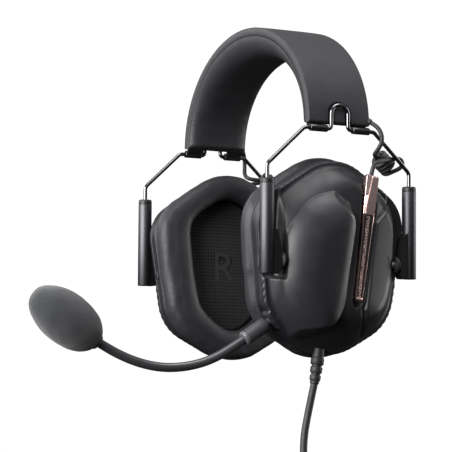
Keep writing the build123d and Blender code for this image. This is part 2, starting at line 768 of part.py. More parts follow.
def cable_coil():
    """Outer shape of the put-away turns of the main cord."""
    x, y, z = HANK_CENTRE
    low = (x - HANK_WIDE / 2, y, z)
    high = (x + HANK_WIDE / 2, y, z)
    outer = rod(low, high, 2 * HANK_MEAN_R + HANK_DEPTH)
    ring = outer - rod(low, high, 2 * HANK_MEAN_R - HANK_DEPTH)
    for run in main_cable():
        ring -= run
    return ring


def cable_tie():
    """Strap wrapped round the turns at the front of the coil."""
    x, y, z = HANK_CENTRE
    at_y = y - HANK_MEAN_R
    half_x = HANK_WIDE / 2 + 0.2
    half_y = HANK_DEPTH / 2 + 1.1
    outer = block((x - half_x - TIE_THICK, x + half_x + TIE_THICK),
                  (at_y - half_y - TIE_THICK, at_y + half_y + TIE_THICK),
                  (z - TIE_WIDE / 2, z + TIE_WIDE / 2))
    inner = block((x - half_x, x + half_x), (at_y - half_y, at_y + half_y),
                  (z - TIE_WIDE, z + TIE_WIDE))
    return outer - inner


def plug_aim():
    return (Vector(TAIL_POINTS[-1]) - Vector(TAIL_POINTS[-2])).normalized()


def cable_plug():
    """Moulded grip of the plug."""
    start = Vector(TAIL_POINTS[-1])
    return cone_rod(start, plug_aim(), GRIP_LENGTH, GRIP_D - 1.8, GRIP_D)


def plug_jack():
    """3.5 mm jack with its pointed tip."""
    start = Vector(TAIL_POINTS[-1]) + plug_aim() * GRIP_LENGTH
    tip = start + plug_aim() * (JACK_LENGTH - JACK_TIP)
    return rod(start, tip, JACK_D) + cone_rod(tip, plug_aim(), JACK_TIP, JACK_D, 1.2)


# ---- writing the parts ----
def save(name, solids):
    """Write one node: one solid, or a group of separate ones."""
    solids = solids if isinstance(solids, list) else [solids]
    flat = [solid for item in solids for solid in item.solids()]
    shape = flat[0] if len(flat) == 1 else Compound(children=flat)
    export_step(shape, f"parts/{name}.step")


def both_sides(name, solids):
    """Write a left piece and its mirror image."""
    solids = solids if isinstance(solids, list) else [solids]
    save(f"left_{name}", solids)
    save(f"right_{name}", [mirrored(solid) for solid in solids])


def lean_all(solids):
    solids = solids if isinstance(solids, list) else [solids]
    return [leaned(solid) for solid in solids]


def main():
    os.makedirs("parts", exist_ok=True)

    save("headband_cover", headband_cover())
    save("headband_pad", headband_pad())
    save("headband_spring", headband_spring())
    save("headband_wire", headband_wire())
    save("clip_rivets", clip_rivets())
    save("band_glands", band_glands())

    both_sides("hinge_clip", hinge_clip())
    both_sides("yoke_wire", yoke_wire())
    both_sides("front_sleeve", sleeve(-LEG_Y))
    both_sides("rear_sleeve", sleeve(LEG_Y))
    both_sides("sleeve_caps", sleeve_caps())
    both_sides("friction_bushes", friction_bushes())
    both_sides("pivot_brackets", pivot_brackets())
    both_sides("pivot_pins", pivot_pins())
    both_sides("pivot_washers", pivot_washers())
    both_sides("link_upper", link_upper())
    both_sides("link_coil", link_coil())
    both_sides("link_lower", link_lower())

    both_sides("driver", lean_all(driver()))
    both_sides("ear_cushion", lean_all(ear_cushion()))
    both_sides("speaker_cloth", lean_all(speaker_cloth()))
    both_sides("accent_bar", lean_all(accent_bar()))
    both_sides("accent_mesh", lean_all(accent_mesh_solid(0.05)))
    both_sides("housing_screws", lean_all(housing_screws()))

    save("left_outer_shell", [leaned(left_outer_shell()) - cord_exit()])
    save("left_mid_housing", [leaned(mid_housing() - BOOM_ROOM) - cord_exit()])
    boom_pin_hole = rod((50, BOOM_Y, BOOM_Z), (BOOM_PIN_END_X, BOOM_Y, BOOM_Z), BOOM_PIN_D)
    save("left_driver_baffle", [leaned(driver_baffle() - boom_pin_hole - BOOM_ROOM) - cord_exit()])
    save("right_outer_shell", [mirrored(leaned(outer_shell()))])
    save("right_mid_housing", [mirrored(leaned(mid_housing()))])
    save("right_driver_baffle", [mirrored(leaned(driver_baffle()))])

    save("boom_pin", lean_all(boom_pin()))
    save("boom_knuckle", lean_all(boom_knuckle()))
    save("boom_holder", lean_all(boom_holder()))
    save("gooseneck", lean_all(gooseneck()))
    save("mic_capsule", lean_all(mic_capsule()))
    save("foam_windscreen", lean_all(foam_windscreen()))

    save("strain_relief", strain_relief())
    save("main_cable", main_cable())
    save("cable_coil", cable_coil())
    save("cable_tie", cable_tie())
    save("cable_plug", cable_plug())
    save("plug_jack", plug_jack())


main()
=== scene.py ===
"""Gaming headset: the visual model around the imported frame, in its frame, in metres."""
from math import atan2, cos, pi, radians, sin, sqrt, tan

import bmesh
import bpy
import numpy as np
from mathutils import Matrix, Vector, noise


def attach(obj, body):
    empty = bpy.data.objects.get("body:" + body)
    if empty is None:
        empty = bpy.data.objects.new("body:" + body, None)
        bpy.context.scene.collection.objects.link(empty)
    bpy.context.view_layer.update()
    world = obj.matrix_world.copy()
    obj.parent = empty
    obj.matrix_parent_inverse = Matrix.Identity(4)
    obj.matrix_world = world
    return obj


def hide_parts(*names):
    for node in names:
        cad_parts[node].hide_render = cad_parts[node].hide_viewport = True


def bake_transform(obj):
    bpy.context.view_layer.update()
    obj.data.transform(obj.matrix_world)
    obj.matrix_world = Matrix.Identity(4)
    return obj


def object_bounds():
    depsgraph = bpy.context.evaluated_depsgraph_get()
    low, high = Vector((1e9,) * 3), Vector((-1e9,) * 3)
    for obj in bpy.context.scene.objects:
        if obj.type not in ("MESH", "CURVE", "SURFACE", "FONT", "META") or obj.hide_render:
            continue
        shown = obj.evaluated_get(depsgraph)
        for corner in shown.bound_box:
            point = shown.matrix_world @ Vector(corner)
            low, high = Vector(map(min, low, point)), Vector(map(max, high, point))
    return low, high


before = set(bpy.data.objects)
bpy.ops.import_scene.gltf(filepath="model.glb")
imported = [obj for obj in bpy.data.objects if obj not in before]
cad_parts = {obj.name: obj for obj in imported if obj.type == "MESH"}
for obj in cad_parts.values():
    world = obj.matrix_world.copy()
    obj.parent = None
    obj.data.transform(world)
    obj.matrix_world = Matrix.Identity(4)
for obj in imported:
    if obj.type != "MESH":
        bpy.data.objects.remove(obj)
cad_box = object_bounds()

MM = 0.001
WIRE_X = 71.14
PIVOT_Z = -118.6
LEAN = radians(4.0)
SIDES = (("left", 1), ("right", -1))


# ---- frames and small helpers ----
def lean(points):
    """Cup points drawn upright, turned to the cup's resting lean (mm)."""
    p = np.array(points, float)
    dx, dz = p[..., 0] - WIRE_X, p[..., 2] - PIVOT_Z
    out = p.copy()
    out[..., 0] = WIRE_X + dx * cos(LEAN) + dz * sin(LEAN)
    out[..., 2] = PIVOT_Z - dx * sin(LEAN) + dz * cos(LEAN)
    return out


def to_side(points, sign):
    """Points of the left side, in mm, as points of one side in metres."""
    return np.array(points, float) * (sign * MM, MM, MM)


def make_object(name, verts, faces, material, body=None, sign=1):
    """A mesh piece from left-side points in mm."""
    mesh = bpy.data.meshes.new(name)
    if sign < 0:
        faces = [tuple(reversed(f)) for f in faces]
    mesh.from_pydata([tuple(v) for v in to_side(verts, sign)], [], faces)
    mesh.validate()
    mesh.update()
    obj = bpy.data.objects.new(name, mesh)
    bpy.context.scene.collection.objects.link(obj)
    mesh.polygons.foreach_set("use_smooth", [True] * len(mesh.polygons))
    mesh.materials.append(material)
    if body:
        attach(obj, body)
    return obj


def sharpen(obj, degrees=35):
    """Split the shading at edges sharper than this."""
    mesh = obj.data
    bm = bmesh.new()
    bm.from_mesh(mesh)
    for edge in bm.edges:
        if len(edge.link_faces) == 2:
            edge.smooth = edge.calc_face_angle(0) < radians(degrees)
    bm.to_mesh(mesh)
    bm.free()


def outwards(obj):
    """Consistent faces, turned outwards."""
    bm = bmesh.new()
    bm.from_mesh(obj.data)
    bmesh.ops.recalc_face_normals(bm, faces=bm.faces)
    bm.to_mesh(obj.data)
    bm.free()


def grid_faces(rows, columns, wrap_rows=False, wrap_columns=True):
    """Quads of a grid of rows by columns."""
    faces = []
    for i in range(rows if wrap_rows else rows - 1):
        for j in range(columns if wrap_columns else columns - 1):
            a, b = i * columns + j, i * columns + (j + 1) % columns
            c, d = ((i + 1) % rows) * columns + (j + 1) % columns, ((i + 1) % rows) * columns + j
            faces.append((a, b, c, d))
    return faces


def end_faces(rows, columns):
    """Flat faces over the first and the last row of a grid."""
    return [tuple(reversed(range(columns))), tuple(range((rows - 1) * columns, rows * columns))]


def basis(axis, hint=(0, 0, 1)):
    """Three unit vectors at right angles, the first along the axis."""
    a = Vector(axis).normalized()
    h = Vector(hint)
    if abs(a.dot(h.normalized())) > 0.95:
        h = Vector((1, 0, 0))
    e1 = (h - a * a.dot(h)).normalized()
    return a, e1, a.cross(e1)


def lathe(name, start, axis, profile, material, body, sign=1, segments=48, crease=32):
    """A turned piece: profile is (distance along the axis, radius) in mm."""
    a, e1, e2 = basis(axis)
    start = Vector(start)
    verts = []
    for along, radius in profile:
        for k in range(segments):
            t = 2 * pi * k / segments
            verts.append(start + a * along + (e1 * cos(t) + e2 * sin(t)) * max(radius, 1e-4))
    faces = grid_faces(len(profile), segments) + end_faces(len(profile), segments)
    obj = make_object(name, verts, faces, material, None, sign)
    outwards(obj)
    sharpen(obj, crease)
    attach(obj, body)
    return obj


def nurbs(name, points, radius, material, body=None, bevel_resolution=6, resolution=8):
    """A smooth cord through control points in metres."""
    curve = bpy.data.curves.new(name, "CURVE")
    curve.dimensions = "3D"
    spline = curve.splines.new("NURBS")
    spline.points.add(len(points) - 1)
    for point, place in zip(spline.points, points):
        point.co = (*place, 1)
    spline.order_u = 3
    spline.use_endpoint_u = True
    spline.resolution_u = resolution
    curve.resolution_u = resolution
    curve.bevel_depth = radius
    curve.bevel_resolution = bevel_resolution
    curve.use_fill_caps = True
    obj = bpy.data.objects.new(name, curve)
    bpy.context.scene.collection.objects.link(obj)
    if material:
        curve.materials.append(material)
    if body:
        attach(obj, body)
    return obj


def centre_line(points, resolution=8):
    """Points along the NURBS line of a route, in metres."""
    helper = nurbs("helper_line", points, 0.0, None, resolution=resolution)
    bpy.context.view_layer.update()
    mesh = bpy.data.meshes.new_from_object(helper)
    line = [Vector(v.co) for v in mesh.vertices]
    bpy.data.objects.remove(helper, do_unlink=True)
    bpy.data.meshes.remove(mesh)
    return line


def tube_mesh(name, line, radius, material, segments=14):
    """A round mesh tube along a line in metres, with closed ends."""
    verts, frame_x = [], None
    for k, here in enumerate(line):
        ahead = line[min(k + 1, len(line) - 1)] - line[max(k - 1, 0)]
        along = ahead.normalized()
        if frame_x is None:
            _, frame_x, _ = basis(along)
        frame_x = (frame_x - along * frame_x.dot(along)).normalized()
        frame_y = along.cross(frame_x)
        for s in range(segments):
            t = 2 * pi * s / segments
            verts.append((here + (frame_x * cos(t) + frame_y * sin(t)) * radius) / MM)
    faces = grid_faces(len(line), segments) + end_faces(len(line), segments)
    obj = make_object(name, verts, faces, material)
    outwards(obj)
    return obj


def placement(right, up, back, place):
    """The matrix of an object whose X, Y and Z axes are right, up and back."""
    return Matrix(((right.x, up.x, back.x, place.x), (right.y, up.y, back.y, place.y),
                   (right.z, up.z, back.z, place.z), (0, 0, 0, 1)))


# ---- materials ----
def shader(name):
    """A new material with its node tree, its shader and the object's own coordinates."""
    mat = bpy.data.materials.new(name)
    mat.use_nodes = True
    tree = mat.node_tree
    bsdf = tree.nodes["Principled BSDF"]
    coord = tree.nodes.new("ShaderNodeTexCoord")
    return mat, tree, bsdf, coord.outputs["Object"]


def mapped(tree, vector, scale):
    """The coordinates, scaled along each axis."""
    node = tree.nodes.new("ShaderNodeMapping")
    node.inputs["Scale"].default_value = scale
    tree.links.new(vector, node.inputs["Vector"])
    return node.outputs["Vector"]


def noise_node(tree, vector, size_mm, detail=3.0, roughness=0.55):
    """Noise whose features are about this size."""
    node = tree.nodes.new("ShaderNodeTexNoise")
    node.inputs["Scale"].default_value = 1000.0 / size_mm
    node.inputs["Detail"].default_value = detail
    node.inputs["Roughness"].default_value = roughness
    tree.links.new(vector, node.inputs["Vector"])
    return node.outputs["Fac"]


def cell_node(tree, vector, size_mm):
    """Distance from the middle of rounded cells of about this size."""
    cells = tree.nodes.new("ShaderNodeTexVoronoi")
    cells.inputs["Scale"].default_value = 1000.0 / size_mm
    tree.links.new(vector, cells.inputs["Vector"])
    return cells.outputs["Distance"]


def ramp(tree, factor, stops):
    """Colours at places along the factor."""
    node = tree.nodes.new("ShaderNodeValToRGB")
    elements = node.color_ramp.elements
    while len(elements) < len(stops):
        elements.new(0.5)
    for element, (place, colour) in zip(elements, stops):
        element.position = place
        element.color = (*colour, 1)
    tree.links.new(factor, node.inputs["Fac"])
    return node.outputs["Color"]


def tint(tree, bsdf, factor, low, dark, high, light):
    """Base colour from dark to light as the factor goes from low to high."""
    colour = ramp(tree, factor, [(low, dark), (high, light)])
    tree.links.new(colour, bsdf.inputs["Base Color"])


def span(tree, factor, low, high, from_low=0.3, from_high=0.7):
    """The factor, stretched to run from low to high."""
    node = tree.nodes.new("ShaderNodeMapRange")
    node.inputs["From Min"].default_value = from_low
    node.inputs["From Max"].default_value = from_high
    node.inputs["To Min"].default_value = low
    node.inputs["To Max"].default_value = high
    tree.links.new(factor, node.inputs["Value"])
    return node.outputs["Result"]


def bump(tree, bsdf, height, depth_mm, strength=1.0, previous=None):
    """Relief of this depth, on top of the previous relief."""
    node = tree.nodes.new("ShaderNodeBump")
    node.inputs["Strength"].default_value = strength
    node.inputs["Distance"].default_value = depth_mm * MM
    tree.links.new(height, node.inputs["Height"])
    if previous is not None:
        tree.links.new(previous, node.inputs["Normal"])
    tree.links.new(node.outputs["Normal"], bsdf.inputs["Normal"])
    return node.outputs["Normal"]


def shade(colour, factor):
    """A colour made lighter or darker."""
    return tuple(min(1.0, c * factor) for c in colour)


def moulded(name, colour, rough, grain_mm=0.35, depth_mm=0.01, specular=0.4, coat=0.0, spread=0.10):
    """Moulded plastic or rubber: fine tooth, slight mottling and handling marks."""
    mat, tree, bsdf, vector = shader(name)
    tone = noise_node(tree, vector, 22.0, 4.0)
    tint(tree, bsdf, tone, 0.3, shade(colour, 1 - spread), 0.7, shade(colour, 1 + spread))
    marks = noise_node(tree, vector, 7.0, 5.0, 0.65)
    tree.links.new(span(tree, marks, rough - 0.05, rough + 0.06), bsdf.inputs["Roughness"])
    first = bump(tree, bsdf, noise_node(tree, vector, grain_mm, 2.0), depth_mm, 0.7)
    bump(tree, bsdf, noise_node(tree, vector, 9.0, 1.0), 0.03, 0.25, first)
    bsdf.inputs["Specular IOR Level"].default_value = specular
    bsdf.inputs["Coat Weight"].default_value = coat
    return mat


def leather(name, colour, rough):
    """Grained leatherette: pebbles, pores and soft creases."""
    mat, tree, bsdf, vector = shader(name)
    pebbles = cell_node(tree, vector, 1.15)
    tone = noise_node(tree, vector, 16.0, 4.0)
    tint(tree, bsdf, tone, 0.3, shade(colour, 0.86), 0.72, shade(colour, 1.16))
    tree.links.new(span(tree, pebbles, rough - 0.06, rough + 0.08, 0.1, 0.6),
                   bsdf.inputs["Roughness"])
    first = bump(tree, bsdf, pebbles, 0.09, 0.5)
    second = bump(tree, bsdf, noise_node(tree, vector, 0.45, 2.0), 0.03, 0.5, first)
    bump(tree, bsdf, noise_node(tree, vector, 8.0, 2.0), 0.25, 0.35, second)
    bsdf.inputs["Specular IOR Level"].default_value = 0.35
    return mat


def metal(name, colour, rough, stretch=(1, 1, 60), streak=0.07, size_mm=0.16):
    """Metal with fine drawn lines along its length."""
    mat, tree, bsdf, vector = shader(name)
    long_way = mapped(tree, vector, tuple(1.0 / s for s in stretch))
    lines = noise_node(tree, long_way, size_mm, 3.0)
    tint(tree, bsdf, lines, 0.3, shade(colour, 0.9), 0.7, shade(colour, 1.08))
    tree.links.new(span(tree, lines, rough - streak, rough + streak), bsdf.inputs["Roughness"])
    bump(tree, bsdf, lines, 0.004, 0.5)
    bsdf.inputs["Metallic"].default_value = 1.0
    return mat


def painted(name, colour, rough, grain_mm=0.25, specular=0.5, coat=0.0):
    """Satin paint on metal, with a faint orange-peel."""
    return moulded(name, colour, rough, grain_mm, 0.004, specular, coat, 0.06)


def woven(name, dark, light, pitch_mm):
    """Open weave: two sets of threads with dark gaps between them."""
    mat, tree, bsdf, vector = shader(name)
    waves = []
    for axis in ("Y", "Z"):
        wave = tree.nodes.new("ShaderNodeTexWave")
        wave.wave_type = "BANDS"
        wave.bands_direction = axis
        wave.inputs["Scale"].default_value = 1000.0 / pitch_mm / 20.0 * pi
        wave.inputs["Distortion"].default_value = 0.6
        wave.inputs["Detail Scale"].default_value = 2.0
        tree.links.new(vector, wave.inputs["Vector"])
        waves.append(wave.outputs["Fac"])
    both = tree.nodes.new("ShaderNodeMath")
    both.operation = "MAXIMUM"
    tree.links.new(waves[0], both.inputs[0])
    tree.links.new(waves[1], both.inputs[1])
    height = both.outputs[0]
    tint(tree, bsdf, height, 0.35, dark, 0.85, light)
    tree.links.new(span(tree, height, 0.95, 0.75), bsdf.inputs["Roughness"])
    first = bump(tree, bsdf, height, 0.12, 0.6)
    bump(tree, bsdf, noise_node(tree, vector, 0.3, 2.0), 0.03, 0.5, first)
    bsdf.inputs["Specular IOR Level"].default_value = 0.2
    bsdf.inputs["Sheen Weight"].default_value = 0.15
    return mat


def glittering(name, dark, light):
    """Knurled strip: small bright facets with dark gaps between them."""
    mat, tree, bsdf, vector = shader(name)
    facets = cell_node(tree, vector, 0.5)
    tint(tree, bsdf, facets, 0.30, light, 0.52, dark)
    bump(tree, bsdf, facets, -0.2, 0.8)
    bsdf.inputs["Metallic"].default_value = 0.35
    bsdf.inputs["Roughness"].default_value = 0.38
    return mat


def foamy(name, colour):
    """Open-cell foam: pits of two sizes, with no gloss; painted shade makes it darker in the sunk pits and
    lighter on the raised cells.
    """
    mat, tree, bsdf, vector = shader(name)
    pits = cell_node(tree, vector, 0.55)
    # painted shade: the cells that sink the relief also darken the colour in the pits and lighten it on the
    # raised cells
    tint(tree, bsdf, pits, 0.15, shade(colour, 1.15), 0.8, shade(colour, 0.72))
    fine = noise_node(tree, vector, 1.6, 4.0, 0.7)
    tree.links.new(span(tree, fine, 0.9, 1.0), bsdf.inputs["Roughness"])
    first = bump(tree, bsdf, pits, -0.22, 0.6)
    bump(tree, bsdf, fine, 0.15, 0.4, first)
    bsdf.inputs["Specular IOR Level"].default_value = 0.1
    bsdf.inputs["Sheen Weight"].default_value = 0.3
    bsdf.inputs["Sheen Roughness"].default_value = 0.6
    return mat


M = {
    "leatherette": leather("leatherette", (0.026, 0.026, 0.029), 0.50),
    "cushion": leather("cushion_leatherette", (0.021, 0.021, 0.024), 0.45),
    "shell": moulded("shell", (0.0165, 0.0165, 0.019), 0.40, 0.30, 0.006, 0.42),
    "housing": moulded("housing", (0.014, 0.014, 0.016), 0.42, 0.30, 0.008, 0.4),
    "sleeve_metal": metal("sleeve_metal", (0.082, 0.082, 0.088), 0.46, (1, 1, 40), 0.02, 0.5),
    "bracket": painted("bracket_paint", (0.008, 0.008, 0.009), 0.36, 0.2, 0.35),
    "black_plastic": moulded("black_plastic", (0.008, 0.008, 0.009), 0.38),
    "black_metal": painted("black_metal", (0.010, 0.010, 0.011), 0.20, 0.25, 0.6, 0.5),
    "dark_steel": metal("dark_steel", (0.20, 0.20, 0.21), 0.13, (1, 1, 1), 0.02, 2.0),
    "spring_steel": metal("spring_steel", (0.42, 0.43, 0.46), 0.3),
    "steel": metal("steel", (0.52, 0.52, 0.54), 0.26),
    "driver_metal": metal("driver_metal", (0.34, 0.34, 0.36), 0.34),
    "nylon": moulded("nylon", (0.42, 0.41, 0.38), 0.5),
    "black_rubber": moulded("black_rubber", (0.010, 0.010, 0.011), 0.55, 0.3, 0.012, 0.35),
    "cord": moulded("cord", (0.019, 0.019, 0.021), 0.50, 0.25, 0.008, 0.4),
    "rose_gold": metal("rose_gold", (0.86, 0.62, 0.58), 0.24, (1, 1, 1), 0.015, 2.5),
    "glitter": glittering("bar_glitter", (0.03, 0.02, 0.018), (0.85, 0.56, 0.52)),
    "mesh": painted("strip_black", (0.010, 0.008, 0.008), 0.4),
    "jack_metal": metal("jack_metal", (0.83, 0.62, 0.30), 0.14),
    "boom_plastic": moulded("boom_plastic", (0.045, 0.045, 0.049), 0.42, 0.3, 0.005, 0.45),
    "goose_black": moulded("goose_black", (0.034, 0.034, 0.037), 0.30, 0.5, 0.004, 0.5, 0.3),
    "collar": painted("collar_satin", (0.09, 0.09, 0.095), 0.3, 0.2, 0.6, 0.1),
    "foam": foamy("foam", (0.030, 0.031, 0.034)),
    "cloth": woven("speaker_cloth", (0.004, 0.004, 0.005), (0.022, 0.022, 0.024), 0.95),
    "marker": moulded("side_marker", (0.028, 0.028, 0.030), 0.6),
}


# ---- camera ----
def set_camera():
    """The camera at the headset's front left, slightly below its middle."""
    target = Vector((0, -29.44, -95.38)) * MM
    azimuth, elevation, roll = radians(61.345), radians(-4.827), radians(0.423)
    back = Vector((cos(elevation) * sin(azimuth), -cos(elevation) * cos(azimuth), sin(elevation)))
    right = Vector((cos(azimuth), sin(azimuth), 0))
    up = back.cross(right)
    image_right = right * cos(roll) + up * sin(roll)
    image_up = up * cos(roll) - right * sin(roll)
    place = target + back * 1.1245
    data = bpy.data.cameras.new("camera")
    data.sensor_width = 36.0
    data.lens = 162.0
    data.clip_start = 0.01
    camera = bpy.data.objects.new("camera", data)
    camera.matrix_world = placement(image_right, image_up, back, place)
    bpy.context.scene.collection.objects.link(camera)
    bpy.context.scene.camera = camera


set_camera()

# ---- cords ----
LINK_R = 1.2 * MM
GLAND_START = Vector((69.6, 18.9, -41.6)) + Vector((0.62, 0.60, -0.50)).normalized() * 1.65
LINK_UPPER = [
    (73.0, 22.2, -44.3), (75.0, 24.0, -48.4), (75.4, 24.2, -53.2), (73.0, 22.8, -57.4),
    (68.4, 23.0, -60.0),
]
COIL_FROM = Vector((63.4, 28.7, -59.6))
COIL_TO = Vector((61.2, 38.5, -65.7))
COIL_R = 4.15
COIL_TURNS = 3.9
COIL_STEPS = 14
COIL_END_ROOM = 1.1
COIL_CUT_IN, COIL_CUT_OUT = 1.0, 0.55
LINK_LOWER = [
    (66.0, 43.6, -64.6), (67.0, 42.4, -60.8), (67.8, 38.4, -60.3), (69.6, 33.4, -61.4),
    (72.0, 28.0, -62.4), (74.2, 22.9, -63.4), (74.9, 18.6, -65.8), (74.4, 17.7, -72.2),
]


def link_route():
    """Control points of one link cord: lead, curled turns and the lead into the bar."""
    a, e1, e2 = basis(COIL_TO - COIL_FROM, (1, 0, 0))
    length = (COIL_TO - COIL_FROM).length
    steps = int(COIL_TURNS * COIL_STEPS)
    turns = []
    for k in range(steps + 1):
        t = 2 * pi * k / COIL_STEPS
        along = COIL_END_ROOM + (length - 2 * COIL_END_ROOM) * k / steps
        turns.append(COIL_FROM + a * along + (e1 * cos(t) - e2 * sin(t)) * COIL_R)
    return [tuple(GLAND_START)] + LINK_UPPER, turns, LINK_LOWER


def link_cords(side, sign):
    """The link cord in three pieces, cut from one line at two places."""
    upper, turns, lower = link_route()
    points = [to_side(tuple(p), sign) for p in upper + [tuple(t) for t in turns] + lower]
    line = centre_line(points, 6)
    per_point = len(line) / len(points)
    cut_a = int((len(upper) + COIL_STEPS * COIL_CUT_IN) * per_point)
    cut_b = int((len(upper) + len(turns) - COIL_STEPS * COIL_CUT_OUT) * per_point)
    parts = (("link_upper_cord", line[:cut_a + 1], "headband", "yoke",
              (71.0, 22.0, -46.5), (71.0, 22.0, -57.0), "link_upper"),
             ("link_coil_cord", line[cut_a:cut_b + 1], "yoke", "slider",
              (63.2, 30.6, -61.6), (61.9, 36.4, -65.2), "link_coil"),
             ("link_lower_cord", line[cut_b:], "slider", "cup",
              (68.9, 34.0, -61.8), (74.2, 20.5, -66.5), "link_lower"))
    for name, path, body_a, body_b, start, end, node in parts:
        obj = tube_mesh(f"{side}_{name}", path, LINK_R, M["cord"])
        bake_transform(obj)
        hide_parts(f"{side}_{node}")


for side, sign in SIDES:
    link_cords(side, sign)

CORD_R = 2.0 * MM
RELIEF_FROM = Vector((57.0, -4.0, -165.6))
RELIEF_AIM = Vector((-0.05, -0.12, -0.99)).normalized()
RELIEF_LENGTH = 16.4
CORD_POINTS = [
    (55.4, -9.0, -196.0), (55.6, -12.4, -212.0), (56.6, -12.4, -228.0), (57.4, -6.6, -243.0),
]
HANK_Y, HANK_Z = -30.6, -256.0
HANK_TURNS = [
    (28.4, 57.0), (28.4, 52.0), (24.2, 51.4), (20.1, 51.4), (16.2, 51.8), (16.2, 56.1), (20.2, 56.0),
    (24.3, 56.4), (24.2, 60.9), (20.1, 60.4), (16.2, 60.4), (16.2, 64.6), (20.3, 64.6), (24.5, 64.8),
    (28.4, 62.0),
]
HANK_STEPS = 16
TAIL_POINTS = [
    (63.0, -5.6, -262.0), (68.4, -4.0, -270.0), (71.4, -4.6, -281.0), (71.8, -6.4, -292.0),
]
TAIL_AIM = (Vector(TAIL_POINTS[-1]) - Vector(TAIL_POINTS[-2])).normalized()


def main_cord():
    """The main cord: down from the cup, its put-away turns, and the tail to the plug."""
    points = [tuple(RELIEF_FROM + RELIEF_AIM * RELIEF_LENGTH)] + CORD_POINTS
    total = len(HANK_TURNS) * HANK_STEPS
    shrink = 1 / cos(pi / HANK_STEPS) ** 0.5
    for k in range(total):
        turn, part = divmod(k, HANK_STEPS)
        r, x = HANK_TURNS[turn]
        r_next, x_next = HANK_TURNS[min(turn + 1, len(HANK_TURNS) - 1)]
        blend = min(max((part / HANK_STEPS - 0.66) / 0.34, 0.0), 1.0)
        blend = blend * blend * (3 - 2 * blend)
        r, x = r + (r_next - r) * blend, x + (x_next - x) * blend
        t = 2 * pi * part / HANK_STEPS
        r = r * shrink + 0.12 * sin(3 * t + turn)
        points.append((x, HANK_Y + r * cos(t), HANK_Z - r * sin(t)))
    points += TAIL_POINTS
    return nurbs("main_cord", [to_side(p, 1) for p in points], CORD_R, M["cord"], "left_cup")


cord_obj = main_cord()
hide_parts("main_cable", "cable_coil")

relief = lathe(
    "cord_relief", RELIEF_FROM, RELIEF_AIM,
    [(-2.0, 3.0), (1.8, 3.1), (2.6, 3.1), (3.0, 3.45), (3.5, 3.6), (6.2, 3.55), (6.6, 3.3), (6.8, 2.7),
     (7.6, 2.66), (7.8, 3.1), (8.2, 3.3), (10.6, 3.2), (11.0, 3.0), (11.2, 2.5), (12.0, 2.46),
     (12.2, 2.8), (12.6, 3.0), (14.6, 2.95), (15.0, 2.75), (15.3, 2.5), (16.6, 2.45), (16.9, 2.1)],
    M["cord"], "left_cup", segments=56)
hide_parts("strain_relief")

GRIP = [(0.0, 2.3), (0.4, 2.75), (2.0, 2.9)]
for rib in range(5):
    at = 2.6 + rib * 1.7
    GRIP += [(at, 2.95), (at + 0.25, 2.55), (at + 0.7, 2.55), (at + 0.95, 3.0 + 0.05 * rib)]
GRIP += [(12.0, 3.45), (20.6, 3.75), (21.4, 3.7), (21.8, 3.4), (22.0, 2.4)]
grip = lathe("plug_grip", TAIL_POINTS[-1], TAIL_AIM, GRIP, M["black_plastic"], "left_cup")
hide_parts("cable_plug")
JACK = [(0.0, 1.75)]
for at in (3.6, 6.2, 8.8):
    JACK += [(at, 1.75), (at + 0.1, 1.68), (at + 0.5, 1.68), (at + 0.6, 1.75)]
JACK += [(11.0, 1.75), (11.5, 1.35), (12.0, 1.3), (12.6, 1.6), (13.4, 1.2), (13.9, 0.6), (14.0, 0.2)]
jack = lathe("plug_pin", Vector(TAIL_POINTS[-1]) + TAIL_AIM * 22.0, TAIL_AIM, JACK,
             M["jack_metal"], "left_cup")
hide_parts("plug_jack")


# ---- cup outline in polar form about the cup's middle ----
CUP_CORNERS = [
    (0, -58.8, 30), (46.4, -88.6, 22), (38.5, -150.6, 26),
    (0, -172.6, 30), (-38.5, -150.6, 26), (-46.4, -88.6, 22),
]
EAR_CORNERS = [
    (0, -74.5, 16), (26.0, -92.0, 12), (20.5, -138.5, 12),
    (0, -157.5, 16), (-20.5, -138.5, 12), (-26.0, -92.0, 12),
]
CUP_MID = (0.0, -116.0)
BOOM_PIVOT = (-30.5, -148.2)


def rounded_outline(corners, spacing=0.4):
    """Points (y, z) along a polygon whose corners are rounded by arcs."""
    out = []
    count = len(corners)
    for k in range(count):
        before, here, after = (np.array(corners[(k + j - 1) % count][:2], float) for j in range(3))
        radius = corners[k][2]
        u, v = before - here, after - here
        u, v = u / np.linalg.norm(u), v / np.linalg.norm(v)
        half = 0.5 * np.arccos(np.clip(u @ v, -1, 1))
        reach = radius / tan(half)
        centre = here + (u + v) / np.linalg.norm(u + v) * radius / sin(half)
        p, q = here + u * reach, here + v * reach
        a0, a1 = (atan2(*(s - centre)[::-1]) for s in (p, q))
        turn = (a1 - a0 + pi) % (2 * pi) - pi
        steps = max(2, int(abs(turn) * radius / spacing))
        out += [centre + radius * np.array((cos(a0 + turn * i / steps), sin(a0 + turn * i / steps)))
                for i in range(steps + 1)]
    dense = []
    for a, b in zip(out, out[1:] + out[:1]):
        steps = max(1, int(np.linalg.norm(b - a) / spacing))
        dense += [a + (b - a) * i / steps for i in range(steps)]
    return np.array(dense)


CUP_LINE = rounded_outline(CUP_CORNERS)
EAR_LINE = rounded_outline(EAR_CORNERS)


def polar(line):
    """Angles and radii of an outline about the cup's middle, in order of angle."""
    d = line - np.array(CUP_MID)
    angle = np.arctan2(d[:, 1], d[:, 0])
    order = np.argsort(angle)
    return angle[order], np.hypot(d[order, 0], d[order, 1])


def even_angles(count):
    """Angles of points evenly spread along the cup's outline."""
    d = np.vstack([CUP_LINE, CUP_LINE[:1]])
    run = np.concatenate([[0], np.cumsum(np.hypot(*np.diff(d, axis=0).T))])
    at = np.linspace(0, run[-1], count, endpoint=False)
    y, z = np.interp(at, run, d[:, 0]), np.interp(at, run, d[:, 1])
    return np.arctan2(z - CUP_MID[1], y - CUP_MID[0])


CUP_POLAR = polar(CUP_LINE)
EAR_POLAR = polar(EAR_LINE)


def radius_at(table, theta):
    return np.interp(theta, table[0], table[1], period=2 * pi)


